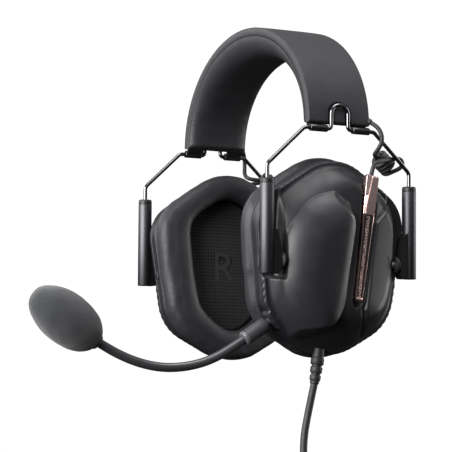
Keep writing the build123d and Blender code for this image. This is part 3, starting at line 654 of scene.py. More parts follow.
def ring(theta, radius):
    """Points (y, z) at polar places about the cup's middle."""
    return np.stack([CUP_MID[0] + radius * np.cos(theta), CUP_MID[1] + radius * np.sin(theta)], -1)


def depth_inside(yz):
    """Distance from points inside the cup's outline to it."""
    out = np.empty(len(yz))
    for k in range(0, len(yz), 4000):
        part = yz[k:k + 4000]
        gap = part[:, None, :] - CUP_LINE[None, ::2, :]
        out[k:k + 4000] = np.sqrt((gap ** 2).sum(-1).min(1))
    return out


def boom_notch(yz):
    """Outline points pulled in where the boom's neck leaves the cup."""
    gap = yz - np.array(BOOM_PIVOT)
    distance = np.hypot(gap[:, 0], gap[:, 1])
    z = yz[:, 1]
    inside = np.clip((z + 157.4) / 1.2, 0, 1) * np.clip((-142.6 - z) / 1.2, 0, 1)
    inside = np.where((yz[:, 0] < -28) & (distance > 6.4) & (distance < 14), inside, 0.0)
    wanted = np.array(BOOM_PIVOT) + gap / np.maximum(distance, 1e-6)[:, None] * 6.3
    return yz + (wanted - yz) * inside[:, None]


# ---- outer shell ----
def smin(a, b, k):
    h = np.clip(0.5 + 0.5 * (b - a) / k, 0, 1)
    return b * (1 - h) + a * h - k * h * (1 - h)


def smax(a, b, k):
    return -smin(-a, -b, k)


def beyond(yz, start, end):
    """Signed distance to the right of the line from start to end (y, z)."""
    run = np.array(end, float) - np.array(start, float)
    run /= np.linalg.norm(run)
    return (yz[:, 0] - start[0]) * run[1] - (yz[:, 1] - start[1]) * run[0]


BAR_TOP = np.array((69.5, 18.3, -71.5))
BAR_FOOT = np.array((78.0, 6.8, -139.0))
BAR_RUN = BAR_FOOT - BAR_TOP
BAR_LENGTH = float(np.linalg.norm(BAR_RUN))
BAR_WIDTHS = (7.8, 4.6)
BAR_THICK = 3.4
BAR_FLAT_LENGTH = 68.5
BAR_SLANT = 0.986
BAR_PLAIN_END = 21.8
SHELL_BASE_X = 60.05
SHELL_WALL = 2.2


def smooth(t):
    """A ramp from 0 to 1 with soft ends."""
    return t * t * (3 - 2 * t)


def bar_line(z):
    """Where the bar's line runs, as its y and x, at heights z."""
    part = (BAR_TOP[2] - z) / (BAR_TOP[2] - BAR_FOOT[2])
    return (BAR_TOP[1] + part * (BAR_FOOT[1] - BAR_TOP[1]),
            BAR_TOP[0] + part * (BAR_FOOT[0] - BAR_TOP[0]))


def domed_body(yz, depth):
    """The shell without its relief: rim, rounded wall, and the planes round the island."""
    y, z = yz[:, 0], yz[:, 1]
    rim = 63.4 - 1.3 * (1 - np.clip(depth / 1.3, 0, 1)) ** 2 + 0.10 * depth
    oval = 50.0 * (1 - np.hypot(y / 46.4, (z + 115.7) / 57.0))
    wall = 64.2 + 1.45 * (smin(depth, oval - 1.0, 9.0) - 2.6)
    cone = smax(rim, wall, 1.6)
    bar_y, bar_x = bar_line(z)
    valley = bar_x + 2.3 - 0.16 * np.maximum(y - bar_y, 0) - 0.004 * np.maximum(y - bar_y, 0) ** 2
    upper = 83.3 + 0.52 * beyond(yz, (-23.5, -82.6), (3.0, -94.2))
    lower = 80.3 - 0.50 * (-143.5 - z) - 0.012 * np.maximum(-143.5 - z, 0) ** 2
    saddle = 75.0 + 0.16 * (y + 24.0) + 0.8 * np.maximum(-100.0 - z, 0)
    upper = smin(upper, saddle, 8.0)
    face = smin(smin(valley, upper, 2.5), lower, 5.0)
    return smin(cone, face, 5.0 + 10.0 * np.clip((8.0 - y) / 16.0, 0, 1))


def island_height(yz):
    """The raised island ahead of the bar, with crisp inner edges and a rolled outer one."""
    y, z = yz[:, 0], yz[:, 1]
    top = beyond(yz, (-24.5, -82.2), (2.9, -94.4))
    right = beyond(yz, (3.9, -96.5), (-2.4, -144.5))
    foot = beyond(yz, (-4.0, -149.8), (-27.0, -157.6))
    corner = beyond(yz, (2.4, -93.2), (4.4, -98.6))
    low_corner = beyond(yz, (-1.9, -143.0), (-7.2, -152.4))
    inside = smin(smin(right, foot, 2.0), smin(corner, low_corner, 2.0), 2.0)
    flat = 83.6 - 0.0006 * (y + 12) ** 2 - 0.0004 * (z + 118) ** 2
    flat = flat - 2.3 * np.clip(1 - inside / 10.5, 0, 1) ** 2
    crest = smin(flat, flat + 1.1 * top, 2.0)
    low_left = beyond(yz, (-20.5, -158.5), (-35.0, -139.5))
    island = smin(crest, flat + 3.0 * smin(inside, low_left - 1.0, 14.0), 0.7)
    high_left = beyond(yz, (-34.5, -100.5), (-15.5, -82.0))
    high = smin(high_left, -80.5 - z, 10.0)
    outer_edge = smin(smin(y + 34.5, high, 12.0), low_left, 9.0)
    run = np.clip(outer_edge / 21.0, 0, 1)
    roll = 0.55 * np.sqrt(np.clip(1 - (1 - run) ** 2, 0, 1)) + 0.45 * (1 - (1 - run) ** 2)
    rolled = 70.8 + 12.4 * roll + 3.5 * np.minimum(outer_edge, 0)
    return smin(smin(island, flat, 1.2), rolled, 1.2)


def rear_panel(yz, depth):
    """Height added by the rear panel, a step behind the bar with a groove along its edge."""
    crease = [(37.5, -82.5), (31.5, -87.2), (20.8, -96.4), (16.6, -117.4), (12.6, -142.8),
              (16.2, -152.6), (22.5, -159.5)]
    gap = np.full(len(yz), 1e9)
    side_of = np.full(len(yz), 1e9)
    for a, b in zip(crease, crease[1:]):
        a, b = np.array(a), np.array(b)
        t = np.clip(((yz - a) @ (b - a)) / ((b - a) @ (b - a)), 0, 1)
        away = yz - (a + t[:, None] * (b - a))
        distance = np.hypot(away[:, 0], away[:, 1])
        side_of = np.where(distance < gap, -beyond(yz, a, b), side_of)
        gap = np.minimum(gap, distance)
    behind = np.where(side_of > 0, gap, -gap)
    panel = smooth(np.clip(behind / 1.6 + 0.5, 0, 1))
    edge = np.clip((depth - 2.5) / 3.0, 0, 1)
    return edge * (1.0 * panel - 0.7 * np.exp(-((behind + 1.2) / 1.3) ** 2))


def bar_channel(yz, out):
    """The face with the bar's channel sunk into it, and a lip along each side."""
    y, z = yz[:, 0], yz[:, 1]
    bar_y, bar_x = bar_line(z)
    along = (((y - BAR_TOP[1]) * BAR_RUN[1] + (z - BAR_TOP[2]) * BAR_RUN[2]) /
             (BAR_RUN[1] ** 2 + BAR_RUN[2] ** 2))
    across = (y - bar_y) * BAR_SLANT
    half = (BAR_WIDTHS[0] + (BAR_WIDTHS[1] - BAR_WIDTHS[0]) * np.clip(along, 0, 1)) / 2
    tail = np.maximum(along - 1.0, 0) * BAR_FLAT_LENGTH
    reach = np.hypot(across, tail)
    front_room = 1.0 + 1.6 * np.clip(1 - along / 0.16, 0, 1) ** 1.5
    room = half + np.where(across < 0, front_room, 1.0) - 0.2
    lip = np.exp(-((np.where(across > 0, reach, 99) - room - 1.5) / 0.85) ** 2)
    out = out + 0.75 * lip * np.clip((along - 0.12) / 0.15, 0, 1) * np.clip((1.03 - along) / 0.05, 0, 1)
    fine = np.exp(-((np.where(across < 0, reach, 99) - room - 0.4) / 0.4) ** 2)
    out = out + 0.25 * fine * np.clip((along - 0.1) / 0.1, 0, 1)
    cut = np.clip((room + 0.25 - reach) / 0.5, 0, 1)
    return out + (np.minimum(out, bar_x - 0.35) - out) * cut


def shell_height(yz, depth):
    """How far out the shell's face is, along X, at points of the cup's outline (mm)."""
    y, z = yz[:, 0], yz[:, 1]
    out = smax(domed_body(yz, depth), island_height(yz), 2.0)
    out = bar_channel(yz, out + rear_panel(yz, depth))
    # flats beside the sleeves
    beside = np.clip((np.abs(y) - 33.0) / 0.9, 0, 1)
    level = smooth(np.clip((z + 128.6) / 2.2, 0, 1) * np.clip((-68.4 - z) / 6.0, 0, 1))
    return out + (np.minimum(out, 61.9) - out) * beside * level


SHELL_ANGLES = even_angles(460)
SHELL_RINGS = 176


def shell_piece(side, sign):
    """Outer shell: a dense face over the cup's outline, its rim and a wall behind it."""
    theta = SHELL_ANGLES
    rim = ring(theta, radius_at(CUP_POLAR, theta))
    if sign > 0:
        rim = boom_notch(rim)
    centre = np.array(CUP_MID)
    share = np.concatenate([[1.0, 0.9965], np.linspace(0.992, 0.004, SHELL_RINGS)])
    verts = [np.column_stack([np.full(len(rim), SHELL_BASE_X), centre + (rim - centre) * 0.996])]
    verts.append(np.column_stack([np.full(len(rim), SHELL_BASE_X + 0.3), rim]))
    for s in share:
        yz = centre + (rim - centre) * s
        x = shell_height(yz, depth_inside(yz))
        verts.append(np.column_stack([x, yz]))
    back = []
    for s in np.linspace(0.03, 0.975, 40):
        yz = centre + (rim - centre) * s
        depth = depth_inside(yz)
        x = np.maximum(shell_height(yz, depth) - SHELL_WALL, SHELL_BASE_X + 0.15)
        back.append(np.column_stack([x, yz]))
    back.append(np.column_stack([np.full(len(rim), SHELL_BASE_X), centre + (rim - centre) * 0.975]))
    rows = verts + back
    count = len(rim)
    faces = grid_faces(len(rows), count, wrap_rows=True)
    flat = np.vstack(rows)
    obj = make_object(f"{side}_shell_skin", lean(flat), faces, M["shell"], None, sign)
    outwards(obj)
    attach(obj, f"{side}_cup")
    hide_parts(f"{side}_outer_shell")


def swept_ring(name, rings, material, body, sign, notch=False):
    """A closed band whose section is a loop of (x, offset from the outline) points."""
    theta = even_angles(300)
    base = radius_at(CUP_POLAR, theta)
    rows = []
    for x, inset in rings:
        yz = ring(theta, base)
        gap = yz - np.array(CUP_MID)
        yz = np.array(CUP_MID) + gap * (1 - inset / base)[:, None]
        if notch:
            yz = boom_notch(yz)
        rows.append(np.column_stack([np.full(len(yz), x), yz]))
    faces = grid_faces(len(rows), len(theta), wrap_rows=True)
    obj = make_object(name, lean(np.vstack(rows)), faces, material, None, sign)
    outwards(obj)
    sharpen(obj, 30)
    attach(obj, body)
    return obj


def bevelled_box(name, x, y, z, radius, material, body, sign):
    """A box with rounded edges, in the cup's upright frame."""
    bm = bmesh.new()
    bmesh.ops.create_cube(bm, size=1)
    for v in bm.verts:
        v.co = ((x[0] + x[1]) / 2 + v.co.x * (x[1] - x[0]), (y[0] + y[1]) / 2 + v.co.y * (y[1] - y[0]),
                (z[0] + z[1]) / 2 + v.co.z * (z[1] - z[0]))
    bmesh.ops.bevel(bm, geom=list(bm.edges), offset=radius, segments=3, profile=0.5, affect="EDGES")
    verts = [tuple(v.co) for v in bm.verts]
    faces = [tuple(v.index for v in f.verts) for f in bm.faces]
    bm.free()
    obj = make_object(name, lean(verts), faces, material, None, sign)
    outwards(obj)
    sharpen(obj)
    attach(obj, body)
    return obj


def housing_pieces(side, sign):
    """Side wall of the cup with its seams, its lugs, and the plates beside the sleeves."""
    body = f"{side}_cup"
    section = [
        (55.05, 1.0), (55.05, 0.45), (55.4, 0.05), (56.9, 0.0), (57.05, 0.35), (57.25, 0.35),
        (57.4, 0.0), (59.3, 0.0), (59.55, 0.25), (59.75, 0.6), (59.75, 2.2), (55.05, 2.2),
    ]
    wall = swept_ring(f"{side}_housing_wall", section, M["housing"], body, sign, notch=sign > 0)
    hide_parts(f"{side}_mid_housing")
    for place, direction in (("front", -1), ("rear", 1)):
        y = sorted((direction * 24.7, direction * 29.7))
        lug = bevelled_box(f"{side}_{place}_lug", (57.3, 74.3), y, (-123.5, -113.7), 0.8,
                           M["black_plastic"], body, sign)
        arm_y = sorted((direction * 25.0, direction * 42.6))
        arm = bevelled_box(f"{side}_{place}_arm", (57.4, 59.9), arm_y, (-123.4, -113.8), 0.5,
                           M["housing"], body, sign)


# ---- accent bar ----
def bar_frame():
    """Unit vectors along the bar, out of it and across it."""
    along = BAR_RUN / BAR_LENGTH
    out = np.array((1.0, 0, 0)) - along * along[0]
    out /= np.linalg.norm(out)
    return along, out, np.cross(out, along)


def bar_point(along, across, out):
    """A point of the bar's own frame (mm)."""
    run, outward, wide = bar_frame()
    return BAR_TOP + run * along + wide * across + outward * out


def bar_half(along):
    """Half of the bar's width at a place along it."""
    return (BAR_WIDTHS[0] + (BAR_WIDTHS[1] - BAR_WIDTHS[0]) * along / BAR_LENGTH) / 2


def bar_inlay(name, stations, left, right, low, high, material, sign):
    """A thin strip let into the bar; left and right give its edges along the bar."""
    verts = []
    for a in stations:
        for b, c in ((left(a), low), (left(a), high), (right(a), high), (right(a), low)):
            verts.append(bar_point(a, b, BAR_THICK - c))
    faces = grid_faces(len(stations), 4) + end_faces(len(stations), 4)
    strip = make_object(name, lean(verts), faces, material, None, sign)
    outwards(strip)
    sharpen(strip)
    return strip


def bar_pieces(side, sign):
    """The rose-gold bar, faceted above, with a textured strip let into it below."""
    body = f"{side}_cup"
    rows = []
    stations = [0.0, 0.35, 0.9, 4.0, 12.0, 18.0, 21.5, 22.2, 30, 40, 50, 60, 66.0, 67.6, 68.4, 68.75]
    for a in stations:
        half = bar_half(a)
        near_end = min(a, BAR_LENGTH - a)
        if near_end < 1.0:
            half = half - (1.0 - near_end) * 0.7
        top = BAR_THICK - max(0.0, 0.9 - near_end) * 0.8
        dip = 0.0 if a < BAR_PLAIN_END or near_end < 1.5 else 0.85
        section = [
            (-half, 0.0), (-half, top * 0.6), (-half + 0.2, top), (-half + 0.5, top),
            (-half + 0.55, top - 0.1 - dip), (0.0, top - 0.1 - dip), (half - 0.35, top - 0.1 - dip),
            (half - 0.3, top - 0.2), (half - 0.1, top - 0.25), (half, top * 0.45), (half, 0.0),
        ]
        if a < BAR_PLAIN_END:
            left = -half + 0.4 + 2.6 * max(0.0, 1 - a / 19.0)
            section[2:9] = [(-half + 0.15, top - 0.75), (-half + 0.25, top - 0.65), (left, top + 0.2),
                            (left + 1.2, top - 0.6), (left + 1.5, top - 0.65),
                            (half - 0.4, top - 0.05), (half - 0.2, top - 0.2)]
        rows.append([bar_point(a, b, c) for b, c in section])
    count = len(rows[0])
    verts = [p for row in rows for p in row]
    faces = grid_faces(len(rows), count) + end_faces(len(rows), count)
    bar = make_object(f"{side}_bar", lean(verts), faces, M["rose_gold"], None, sign)
    outwards(bar)
    sharpen(bar, 14)
    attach(bar, body)
    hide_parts(f"{side}_accent_bar")

    # the strip: a glittering centre on a black band
    glitter = bar_inlay(f"{side}_bar_glitter", np.linspace(22.5, BAR_LENGTH - 2.4, 24),
                        lambda a: -(1.05 - 0.2 * a / BAR_LENGTH), lambda a: 1.05 - 0.2 * a / BAR_LENGTH,
                        0.62, 0.48, M["glitter"], sign)
    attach(glitter, body)
    web = bar_inlay(f"{side}_bar_strip", np.linspace(22.3, BAR_LENGTH - 2.2, 24),
                    lambda a: -bar_half(a) + 0.6, lambda a: bar_half(a) - 0.38,
                    0.9, 0.58, M["mesh"], sign)
    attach(web, body)
    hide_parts(f"{side}_accent_mesh")


# ---- ear cushion ----
def donut(inset, swell, x_low, x_high, corner):
    """A closed ring between the ear opening and the cup's outline, as verts and faces."""
    theta = even_angles(140)
    outer = radius_at(CUP_POLAR, theta) + swell
    inner = radius_at(EAR_POLAR, theta) + inset
    rows = []
    section = [(0.0, x_high), (0.0, (x_low + x_high) / 2), (0.0, x_low + corner), (0.14, x_low + 0.8),
               (0.3, x_low), (0.5, x_low), (0.72, x_low), (0.9, x_low + 1.0), (1.0, x_low + corner),
               (1.0, (x_low + x_high) / 2), (1.0, x_high), (0.5, x_high)]
    for share, x in section:
        yz = ring(theta, inner + (outer - inner) * share)
        rows.append(np.column_stack([np.full(len(yz), x), yz]))
    return np.vstack(rows), grid_faces(len(rows), len(theta), wrap_rows=True)


def inflate(obj, pressure, cap_mm, frames=20, voxel_mm=4.0):
    """Cloth pass: the piece is remeshed, blown up, and no point moves more than the cap."""
    scene = bpy.context.scene
    remesh = obj.modifiers.new("remesh", "REMESH")
    remesh.mode = "VOXEL"
    remesh.voxel_size = voxel_mm * MM
    bake(obj)
    start = np.array([v.co[:] for v in obj.data.vertices])
    cloth = obj.modifiers.new("cloth", "CLOTH")
    cloth.settings.use_pressure = True
    cloth.settings.uniform_pressure_force = pressure
    cloth.settings.effector_weights.gravity = 0
    cloth.settings.tension_stiffness = 15
    cloth.settings.compression_stiffness = 15
    cloth.settings.bending_stiffness = 0.5
    cloth.point_cache.frame_start = 1
    cloth.point_cache.frame_end = frames
    for number in range(1, frames + 1):
        scene.frame_set(number)
    bake(obj)
    scene.frame_set(1)
    end = np.array([v.co[:] for v in obj.data.vertices])
    move = end - start
    size = np.linalg.norm(move, axis=1)
    move *= np.minimum(1.0, cap_mm * MM / np.maximum(size, 1e-9))[:, None]
    obj.data.vertices.foreach_set("co", (start + move).ravel())
    obj.data.update()


def bake(obj):
    """Apply every modifier to the mesh."""
    depsgraph = bpy.context.evaluated_depsgraph_get()
    mesh = bpy.data.meshes.new_from_object(obj.evaluated_get(depsgraph))
    obj.modifiers.clear()
    old = obj.data
    obj.data = mesh
    bpy.data.meshes.remove(old)


def subdivide(obj):
    """One round of subdivision, applied."""
    sub = obj.modifiers.new("sub", "SUBSURF")
    sub.levels = sub.render_levels = 1
    bake(obj)


def cushion_mesh():
    """The left cushion, upright, in mm: its points after the cloth pass, and its faces."""
    verts, faces = donut(1.4, 2.4, 41.0, 54.3, 5.0)
    obj = make_object("cushion_form", verts, faces, M["cushion"])
    outwards(obj)
    inflate(obj, 4.0, 5.0)
    subdivide(obj)
    p = np.array([v.co[:] for v in obj.data.vertices]) / MM
    theta = np.arctan2(p[:, 2] - CUP_MID[1], p[:, 1] - CUP_MID[0])
    radius = np.hypot(p[:, 2] - CUP_MID[1], p[:, 1] - CUP_MID[0])
    outer = radius_at(CUP_POLAR, theta)
    inner = radius_at(EAR_POLAR, theta)
    # held by the seams: the skin is drawn in at the base and at the piped edges
    x = np.clip(p[:, 0], 39.4, 54.5)
    radius = np.clip(radius, inner + 0.3, outer + 4.3)
    base = np.exp(-((x - 53.2) / 1.4) ** 2) * (radius > (outer + inner) / 2)
    radius = radius - base * np.maximum(radius - outer + 0.6, 0) * 0.85
    face = np.clip((44.0 - x) / 3.0, 0, 1)
    share = (radius - inner) / (outer - inner)
    seam = np.exp(-((share - 0.80) / 0.035) ** 2) + np.exp(-((share - 0.14) / 0.035) ** 2)
    x = x + 0.75 * face * seam
    soft = np.array([noise.noise(Vector((a / 13, b / 13, c / 13))) for a, b, c in p])
    x = x + 0.35 * soft * face
    p = np.column_stack([x, CUP_MID[0] + radius * np.cos(theta), CUP_MID[1] + radius * np.sin(theta)])
    faces = [tuple(f.vertices) for f in obj.data.polygons]
    mesh = obj.data
    bpy.data.objects.remove(obj, do_unlink=True)
    bpy.data.meshes.remove(mesh)
    return p, faces


def cushion_pieces(points, faces):
    """Both sides' cushions, their skirts and the cloth inside them."""
    for side, sign in SIDES:
        body = f"{side}_cup"
        pad = make_object(f"{side}_cushion", lean(points), faces, M["cushion"], None, sign)
        outwards(pad)
        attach(pad, body)
        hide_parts(f"{side}_ear_cushion")
        skirt = swept_ring(
            f"{side}_cushion_skirt",
            [(54.75, 1.4), (54.75, 0.3), (54.55, -0.05), (53.9, -0.2), (53.3, 0.1), (53.1, 0.8),
             (53.4, 2.0), (54.2, 2.4)],
            M["cushion"], body, sign)
        cloth_piece(side, sign)


def cloth_piece(side, sign):
    """Thin cloth over the loudspeaker, bowed a little, with the side's letter on it."""
    body = f"{side}_cup"
    theta = np.linspace(-pi, pi, 160, endpoint=False)
    edge = radius_at(EAR_POLAR, theta)
    rows = []
    for face_x, shares in ((54.15, np.linspace(1.03, 0.02, 26)), (54.5, np.linspace(0.02, 1.03, 26))):
        for s in shares:
            yz = ring(theta, edge * s)
            x = face_x - 1.1 * (1 - min(s, 1.0) ** 2)
            rows.append(np.column_stack([np.full(len(yz), x), yz]))
    faces = grid_faces(len(rows), len(theta), wrap_rows=True)
    obj = make_object(f"{side}_cloth_sheet", lean(np.vstack(rows)), faces,
                      M["cloth"], None, sign)
    outwards(obj)
    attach(obj, body)
    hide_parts(f"{side}_speaker_cloth")
    curve = bpy.data.curves.new(f"{side}_letter", "FONT")
    curve.body = "L" if sign > 0 else "R"
    curve.size = 0.025
    curve.extrude = 0.00008
    curve.align_x = "CENTER"
    curve.align_y = "CENTER"
    letter = bpy.data.objects.new(f"{side}_letter", curve)
    bpy.context.scene.collection.objects.link(letter)
    inward = Vector((-sign, 0, 0))
    upward = Vector((0, 0, 1))
    right = upward.cross(inward)
    place = Vector(to_side(tuple(lean((52.75, -2.0, -117.0))), sign))
    letter.matrix_world = placement(right, upward, inward, place)
    bpy.context.view_layer.update()
    mesh = bpy.data.meshes.new_from_object(letter)
    mesh.transform(letter.matrix_world)
    bpy.data.objects.remove(letter, do_unlink=True)
    mark = bpy.data.objects.new(f"{side}_side_marker", mesh)
    bpy.context.scene.collection.objects.link(mark)
    mesh.materials.clear()
    mesh.materials.append(M["marker"])
    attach(mark, body)


for side, sign in SIDES:
    shell_piece(side, sign)
    housing_pieces(side, sign)
    bar_pieces(side, sign)
cushion_pieces(*cushion_mesh())


# ---- headband ----
BAND_TOP, BAND_END_Z = 16.0, -44.6
BAND_HALF_X, BAND_HALF_Y = 71.3, 18.9
BAND_RISE = BAND_TOP - BAND_END_Z
LOOP_HALF_Y, LOOP_TOP_Z = 5.2, -34.6


def arch_stations():
    """Angles along the arch, close together near its two ends, and their arc lengths."""
    fine = np.linspace(0, pi, 4001)
    x, z = BAND_HALF_X * np.cos(fine), BAND_RISE * np.sin(fine)
    run = np.concatenate([[0], np.cumsum(np.hypot(np.diff(x), np.diff(z)))])
    total = run[-1]
    near = np.concatenate([[0, 0.25, 0.6, 1.1], np.arange(1.6, 19, 0.5)])
    middle = np.linspace(19, total - 19, 120)[1:-1]
    at = np.concatenate([near, [19.0], middle, [total - 19.0], total - near[::-1]])
    return np.interp(at, run, fine), at, total


def arch_point(angle, depth):
    """A point (x, z) of the arch, at a depth below its outer surface."""
    return (BAND_HALF_X - depth) * cos(angle), BAND_END_Z + (BAND_RISE - depth) * sin(angle)


def channel_depth(y, low):
    """Depth of the stop loop's channel at a height above the band's end (mm)."""
    top = LOOP_TOP_Z - BAND_END_Z - LOOP_HALF_Y
    distance = abs(y) if low < top else sqrt(y * y + (low - top) ** 2)
    off = abs(distance - LOOP_HALF_Y)
    return 1.55 * min(max((1.95 - off) / 0.5, 0.0), 1.0)


def headband_skin():
    """The cover: plain top, turned edges, and the channels of the stop loops."""
    angles, at, total = arch_stations()
    half = BAND_HALF_Y
    top_y = np.concatenate([[-18.6, -18.2, -17.4], np.arange(-16.6, 16.7, 0.45), [17.4, 18.2, 18.6]])
    rows = []
    for angle, along in zip(angles, at):
        low = min(along, total - along)
        end_round = 0.9 * max(0.0, 1 - low / 1.1) ** 2
        section = []
        for y in top_y:
            depth = 0.05 + 0.22 * (abs(y) / half) ** 4 + end_round
            if low < 14:
                depth = max(depth, channel_depth(y, low))
            section.append((depth, y))
        side = [(0.45, half - 0.08), (0.7, half), (0.95, half - 0.12), (1.15, half - 0.02),
                (2.6, half + 0.12), (4.2, half), (4.75, half - 0.25), (4.95, half - 0.8)]
        section += side + [(5.0, y) for y in (12, 4, -4, -12)]
        section += [(depth, -y) for depth, y in reversed(side)]
        for depth, y in section:
            x, z = arch_point(angle, depth)
            rows.append((x, y, z))
    count = len(section)
    faces = grid_faces(len(angles), count) + end_faces(len(angles), count)
    obj = make_object("headband_skin", rows, faces, M["leatherette"])
    outwards(obj)
    sharpen(obj, 60)
    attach(obj, "headband")
    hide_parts("headband_cover")


def headband_padding():
    """The inner pad: full and rounded between its side seams, with soft creases."""
    angles = np.linspace(0.006, pi - 0.006, 220)
    half = 18.75
    rows = []
    for k, angle in enumerate(angles):
        end = min(k, len(angles) - 1 - k) / 3.0
        full = 1.0 if end > 1 else sqrt(max(0.0, 1 - (1 - end) ** 2))
        section = []
        bottom_side = 5.0 + 4.9 * (0.5 + 0.5 * full)
        bottom_top = 5.0 + 11.4 * (0.5 + 0.5 * full)
        for j in range(49):
            t = -cos(pi * j / 48)
            bulge = (1 - abs(t) ** 3.2) ** (1 / 2.4)
            gather = 0.10 * sin(angle * 150 + 3 * noise.noise(Vector((angle * 6, 0, 0))))
            gather *= np.exp(-((abs(t) - 0.93) / 0.06) ** 2)
            wave = 0.22 * noise.noise(Vector((t * 1.6, angle * 7, 3.1))) + gather
            side = 5.02 + (bottom_side - 5.02) * bulge + wave * bulge
            top = 5.02 + (bottom_top - 5.02) * bulge + 1.4 * wave * bulge
            x = (BAND_HALF_X - side) * cos(angle)
            z = BAND_END_Z + (BAND_RISE - top) * sin(angle)
            section.append((x, half * t, z))
        for t in (0.97, 0.4, -0.4, -0.97):
            x, z = arch_point(angle, 4.9)
            section.append((x, half * t, z))
        rows += section
    count = len(section)
    faces = grid_faces(len(angles), count) + end_faces(len(angles), count)
    obj = make_object("headband_cushion", rows, faces, M["cushion"])
    outwards(obj)
    sharpen(obj, 70)
    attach(obj, "headband")
    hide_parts("headband_pad")


headband_skin()
headband_padding()

# ---- clips, sleeves and their fittings ----
HINGE_Z = -47.6
LEG_Y = 44.14
SLEEVE_TOP_Z, SLEEVE_LENGTH = -75.8, 50.0
WASHER_Y = 34.2


def clip_pieces(side, sign):
    """Rolled end of the band's metal: two tubes round the wire, joined to a folded plate."""
    profile = [(0.0, 1.2), (0.0, 1.66), (0.12, 1.82), (0.35, 1.9), (10.25, 1.9), (10.48, 1.82), (10.6, 1.66),
               (10.6, 1.2)]
    for place, y in (("front", -18.4), ("rear", 7.8)):
        tube = lathe(f"{side}_clip_tube_{place}", (WIRE_X, y, HINGE_Z), (0, 1, 0), profile,
                     M["black_metal"], "headband", sign)
        if place == "front":
            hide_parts(f"{side}_hinge_clip")
        y_mid = y + 5.3
        bm_rows = []
        for x, z in ((67.4, -43.9), (67.4, -46.3), (67.9, -46.9), (70.2, -46.6), (71.0, -46.3),
                     (71.2, -45.5), (70.2, -45.4), (68.9, -45.7), (68.2, -45.2), (68.2, -43.9)):
            bm_rows.append([(x, y_mid - 5.2, z), (x, y_mid - 4.9, z), (x, y_mid + 4.9, z),
                            (x, y_mid + 5.2, z)])
        verts = [p for row in bm_rows for p in row]
        faces = grid_faces(len(bm_rows), 4, wrap_rows=True, wrap_columns=False)
        faces += [tuple(r * 4 for r in range(len(bm_rows))),
                  tuple(r * 4 + 3 for r in reversed(range(len(bm_rows))))]
        plate = make_object(f"{side}_clip_fold_{place}", verts, faces, M["black_metal"], None, sign)
        outwards(plate)
        sharpen(plate, 50)
        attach(plate, "headband")


def sleeve_pieces(side, sign):
    """Satin tubes with their black caps and foot plugs."""
    low = SLEEVE_TOP_Z - SLEEVE_LENGTH
    body = f"{side}_slider"
    tube_profile = [(0.0, 2.72), (0.0, 3.5), (0.12, 3.72), (0.35, 3.85), (46.9, 3.85), (47.1, 3.78),
                    (47.2, 3.6), (47.2, 2.72)]
    cap_profile = [(0.0, 2.4), (0.0, 3.72), (0.1, 3.8), (2.1, 3.8), (2.5, 3.6), (2.75, 3.2), (2.8, 2.4),
                   (2.7, 1.55), (0.6, 1.5)]
    plug_profile = [(0.0, 2.0), (0.0, 2.4), (0.3, 2.62), (2.1, 2.65), (2.2, 2.4)]
    for place, y in (("front", -LEG_Y), ("rear", LEG_Y)):
        tube = lathe(f"{side}_{place}_tube", (WIRE_X, y, low), (0, 0, 1), tube_profile,
                     M["sleeve_metal"], body, sign, 64)
        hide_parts(f"{side}_{place}_sleeve")
        cap = lathe(f"{side}_{place}_cap", (WIRE_X, y, SLEEVE_TOP_Z - 2.8), (0, 0, 1), cap_profile,
                    M["black_plastic"], body, sign, 64)
        plug = lathe(f"{side}_{place}_plug", (WIRE_X, y, low - 0.02), (0, 0, 1), plug_profile,
                     M["black_plastic"], body, sign)
        if place == "front":
            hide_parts(f"{side}_sleeve_caps")
        washer = lathe(
            f"{side}_{place}_washer", (WIRE_X, (1 if y > 0 else -1) * WASHER_Y, PIVOT_Z),
            (0, 1 if y > 0 else -1, 0),
            [(0.0, 2.05), (0.0, 3.6), (0.3, 4.3), (0.9, 4.5), (1.5, 4.5), (1.9, 4.1), (2.1, 3.6), (2.5, 3.5),
             (2.55, 2.05)],
            M["black_rubber"], body, sign)
        if place == "front":
            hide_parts(f"{side}_pivot_washers")


for side, sign in SIDES:
    clip_pieces(side, sign)
    sleeve_pieces(side, sign)

# ---- boom ----
BOOM_AT = Vector((59.5, -30.5, -148.2))
BOOM_AIM = Vector((0, -cos(radians(33.3)), -sin(radians(33.3))))
GOOSE_POINTS = [
    (58.8, -65.4, -170.6), (57.4, -77.6, -174.8), (55.6, -91.4, -176.4),
    (53.5, -104.6, -174.6), (51.2, -117.4, -170.0), (48.6, -129.6, -163.2),
]
FOAM_CENTRE = Vector((46.2, -145.2, -152.3))
FOAM_AIM = (FOAM_CENTRE - Vector(GOOSE_POINTS[-1])).normalized()
FOAM_LONG, FOAM_WIDE = 43.0, 26.8


def leaned_axis(point, aim):
    """A point and a direction of the boom, leaned with the cup."""
    a, b = lean((tuple(point), tuple(Vector(point) + Vector(aim))))
    return Vector(a), Vector(b - a)


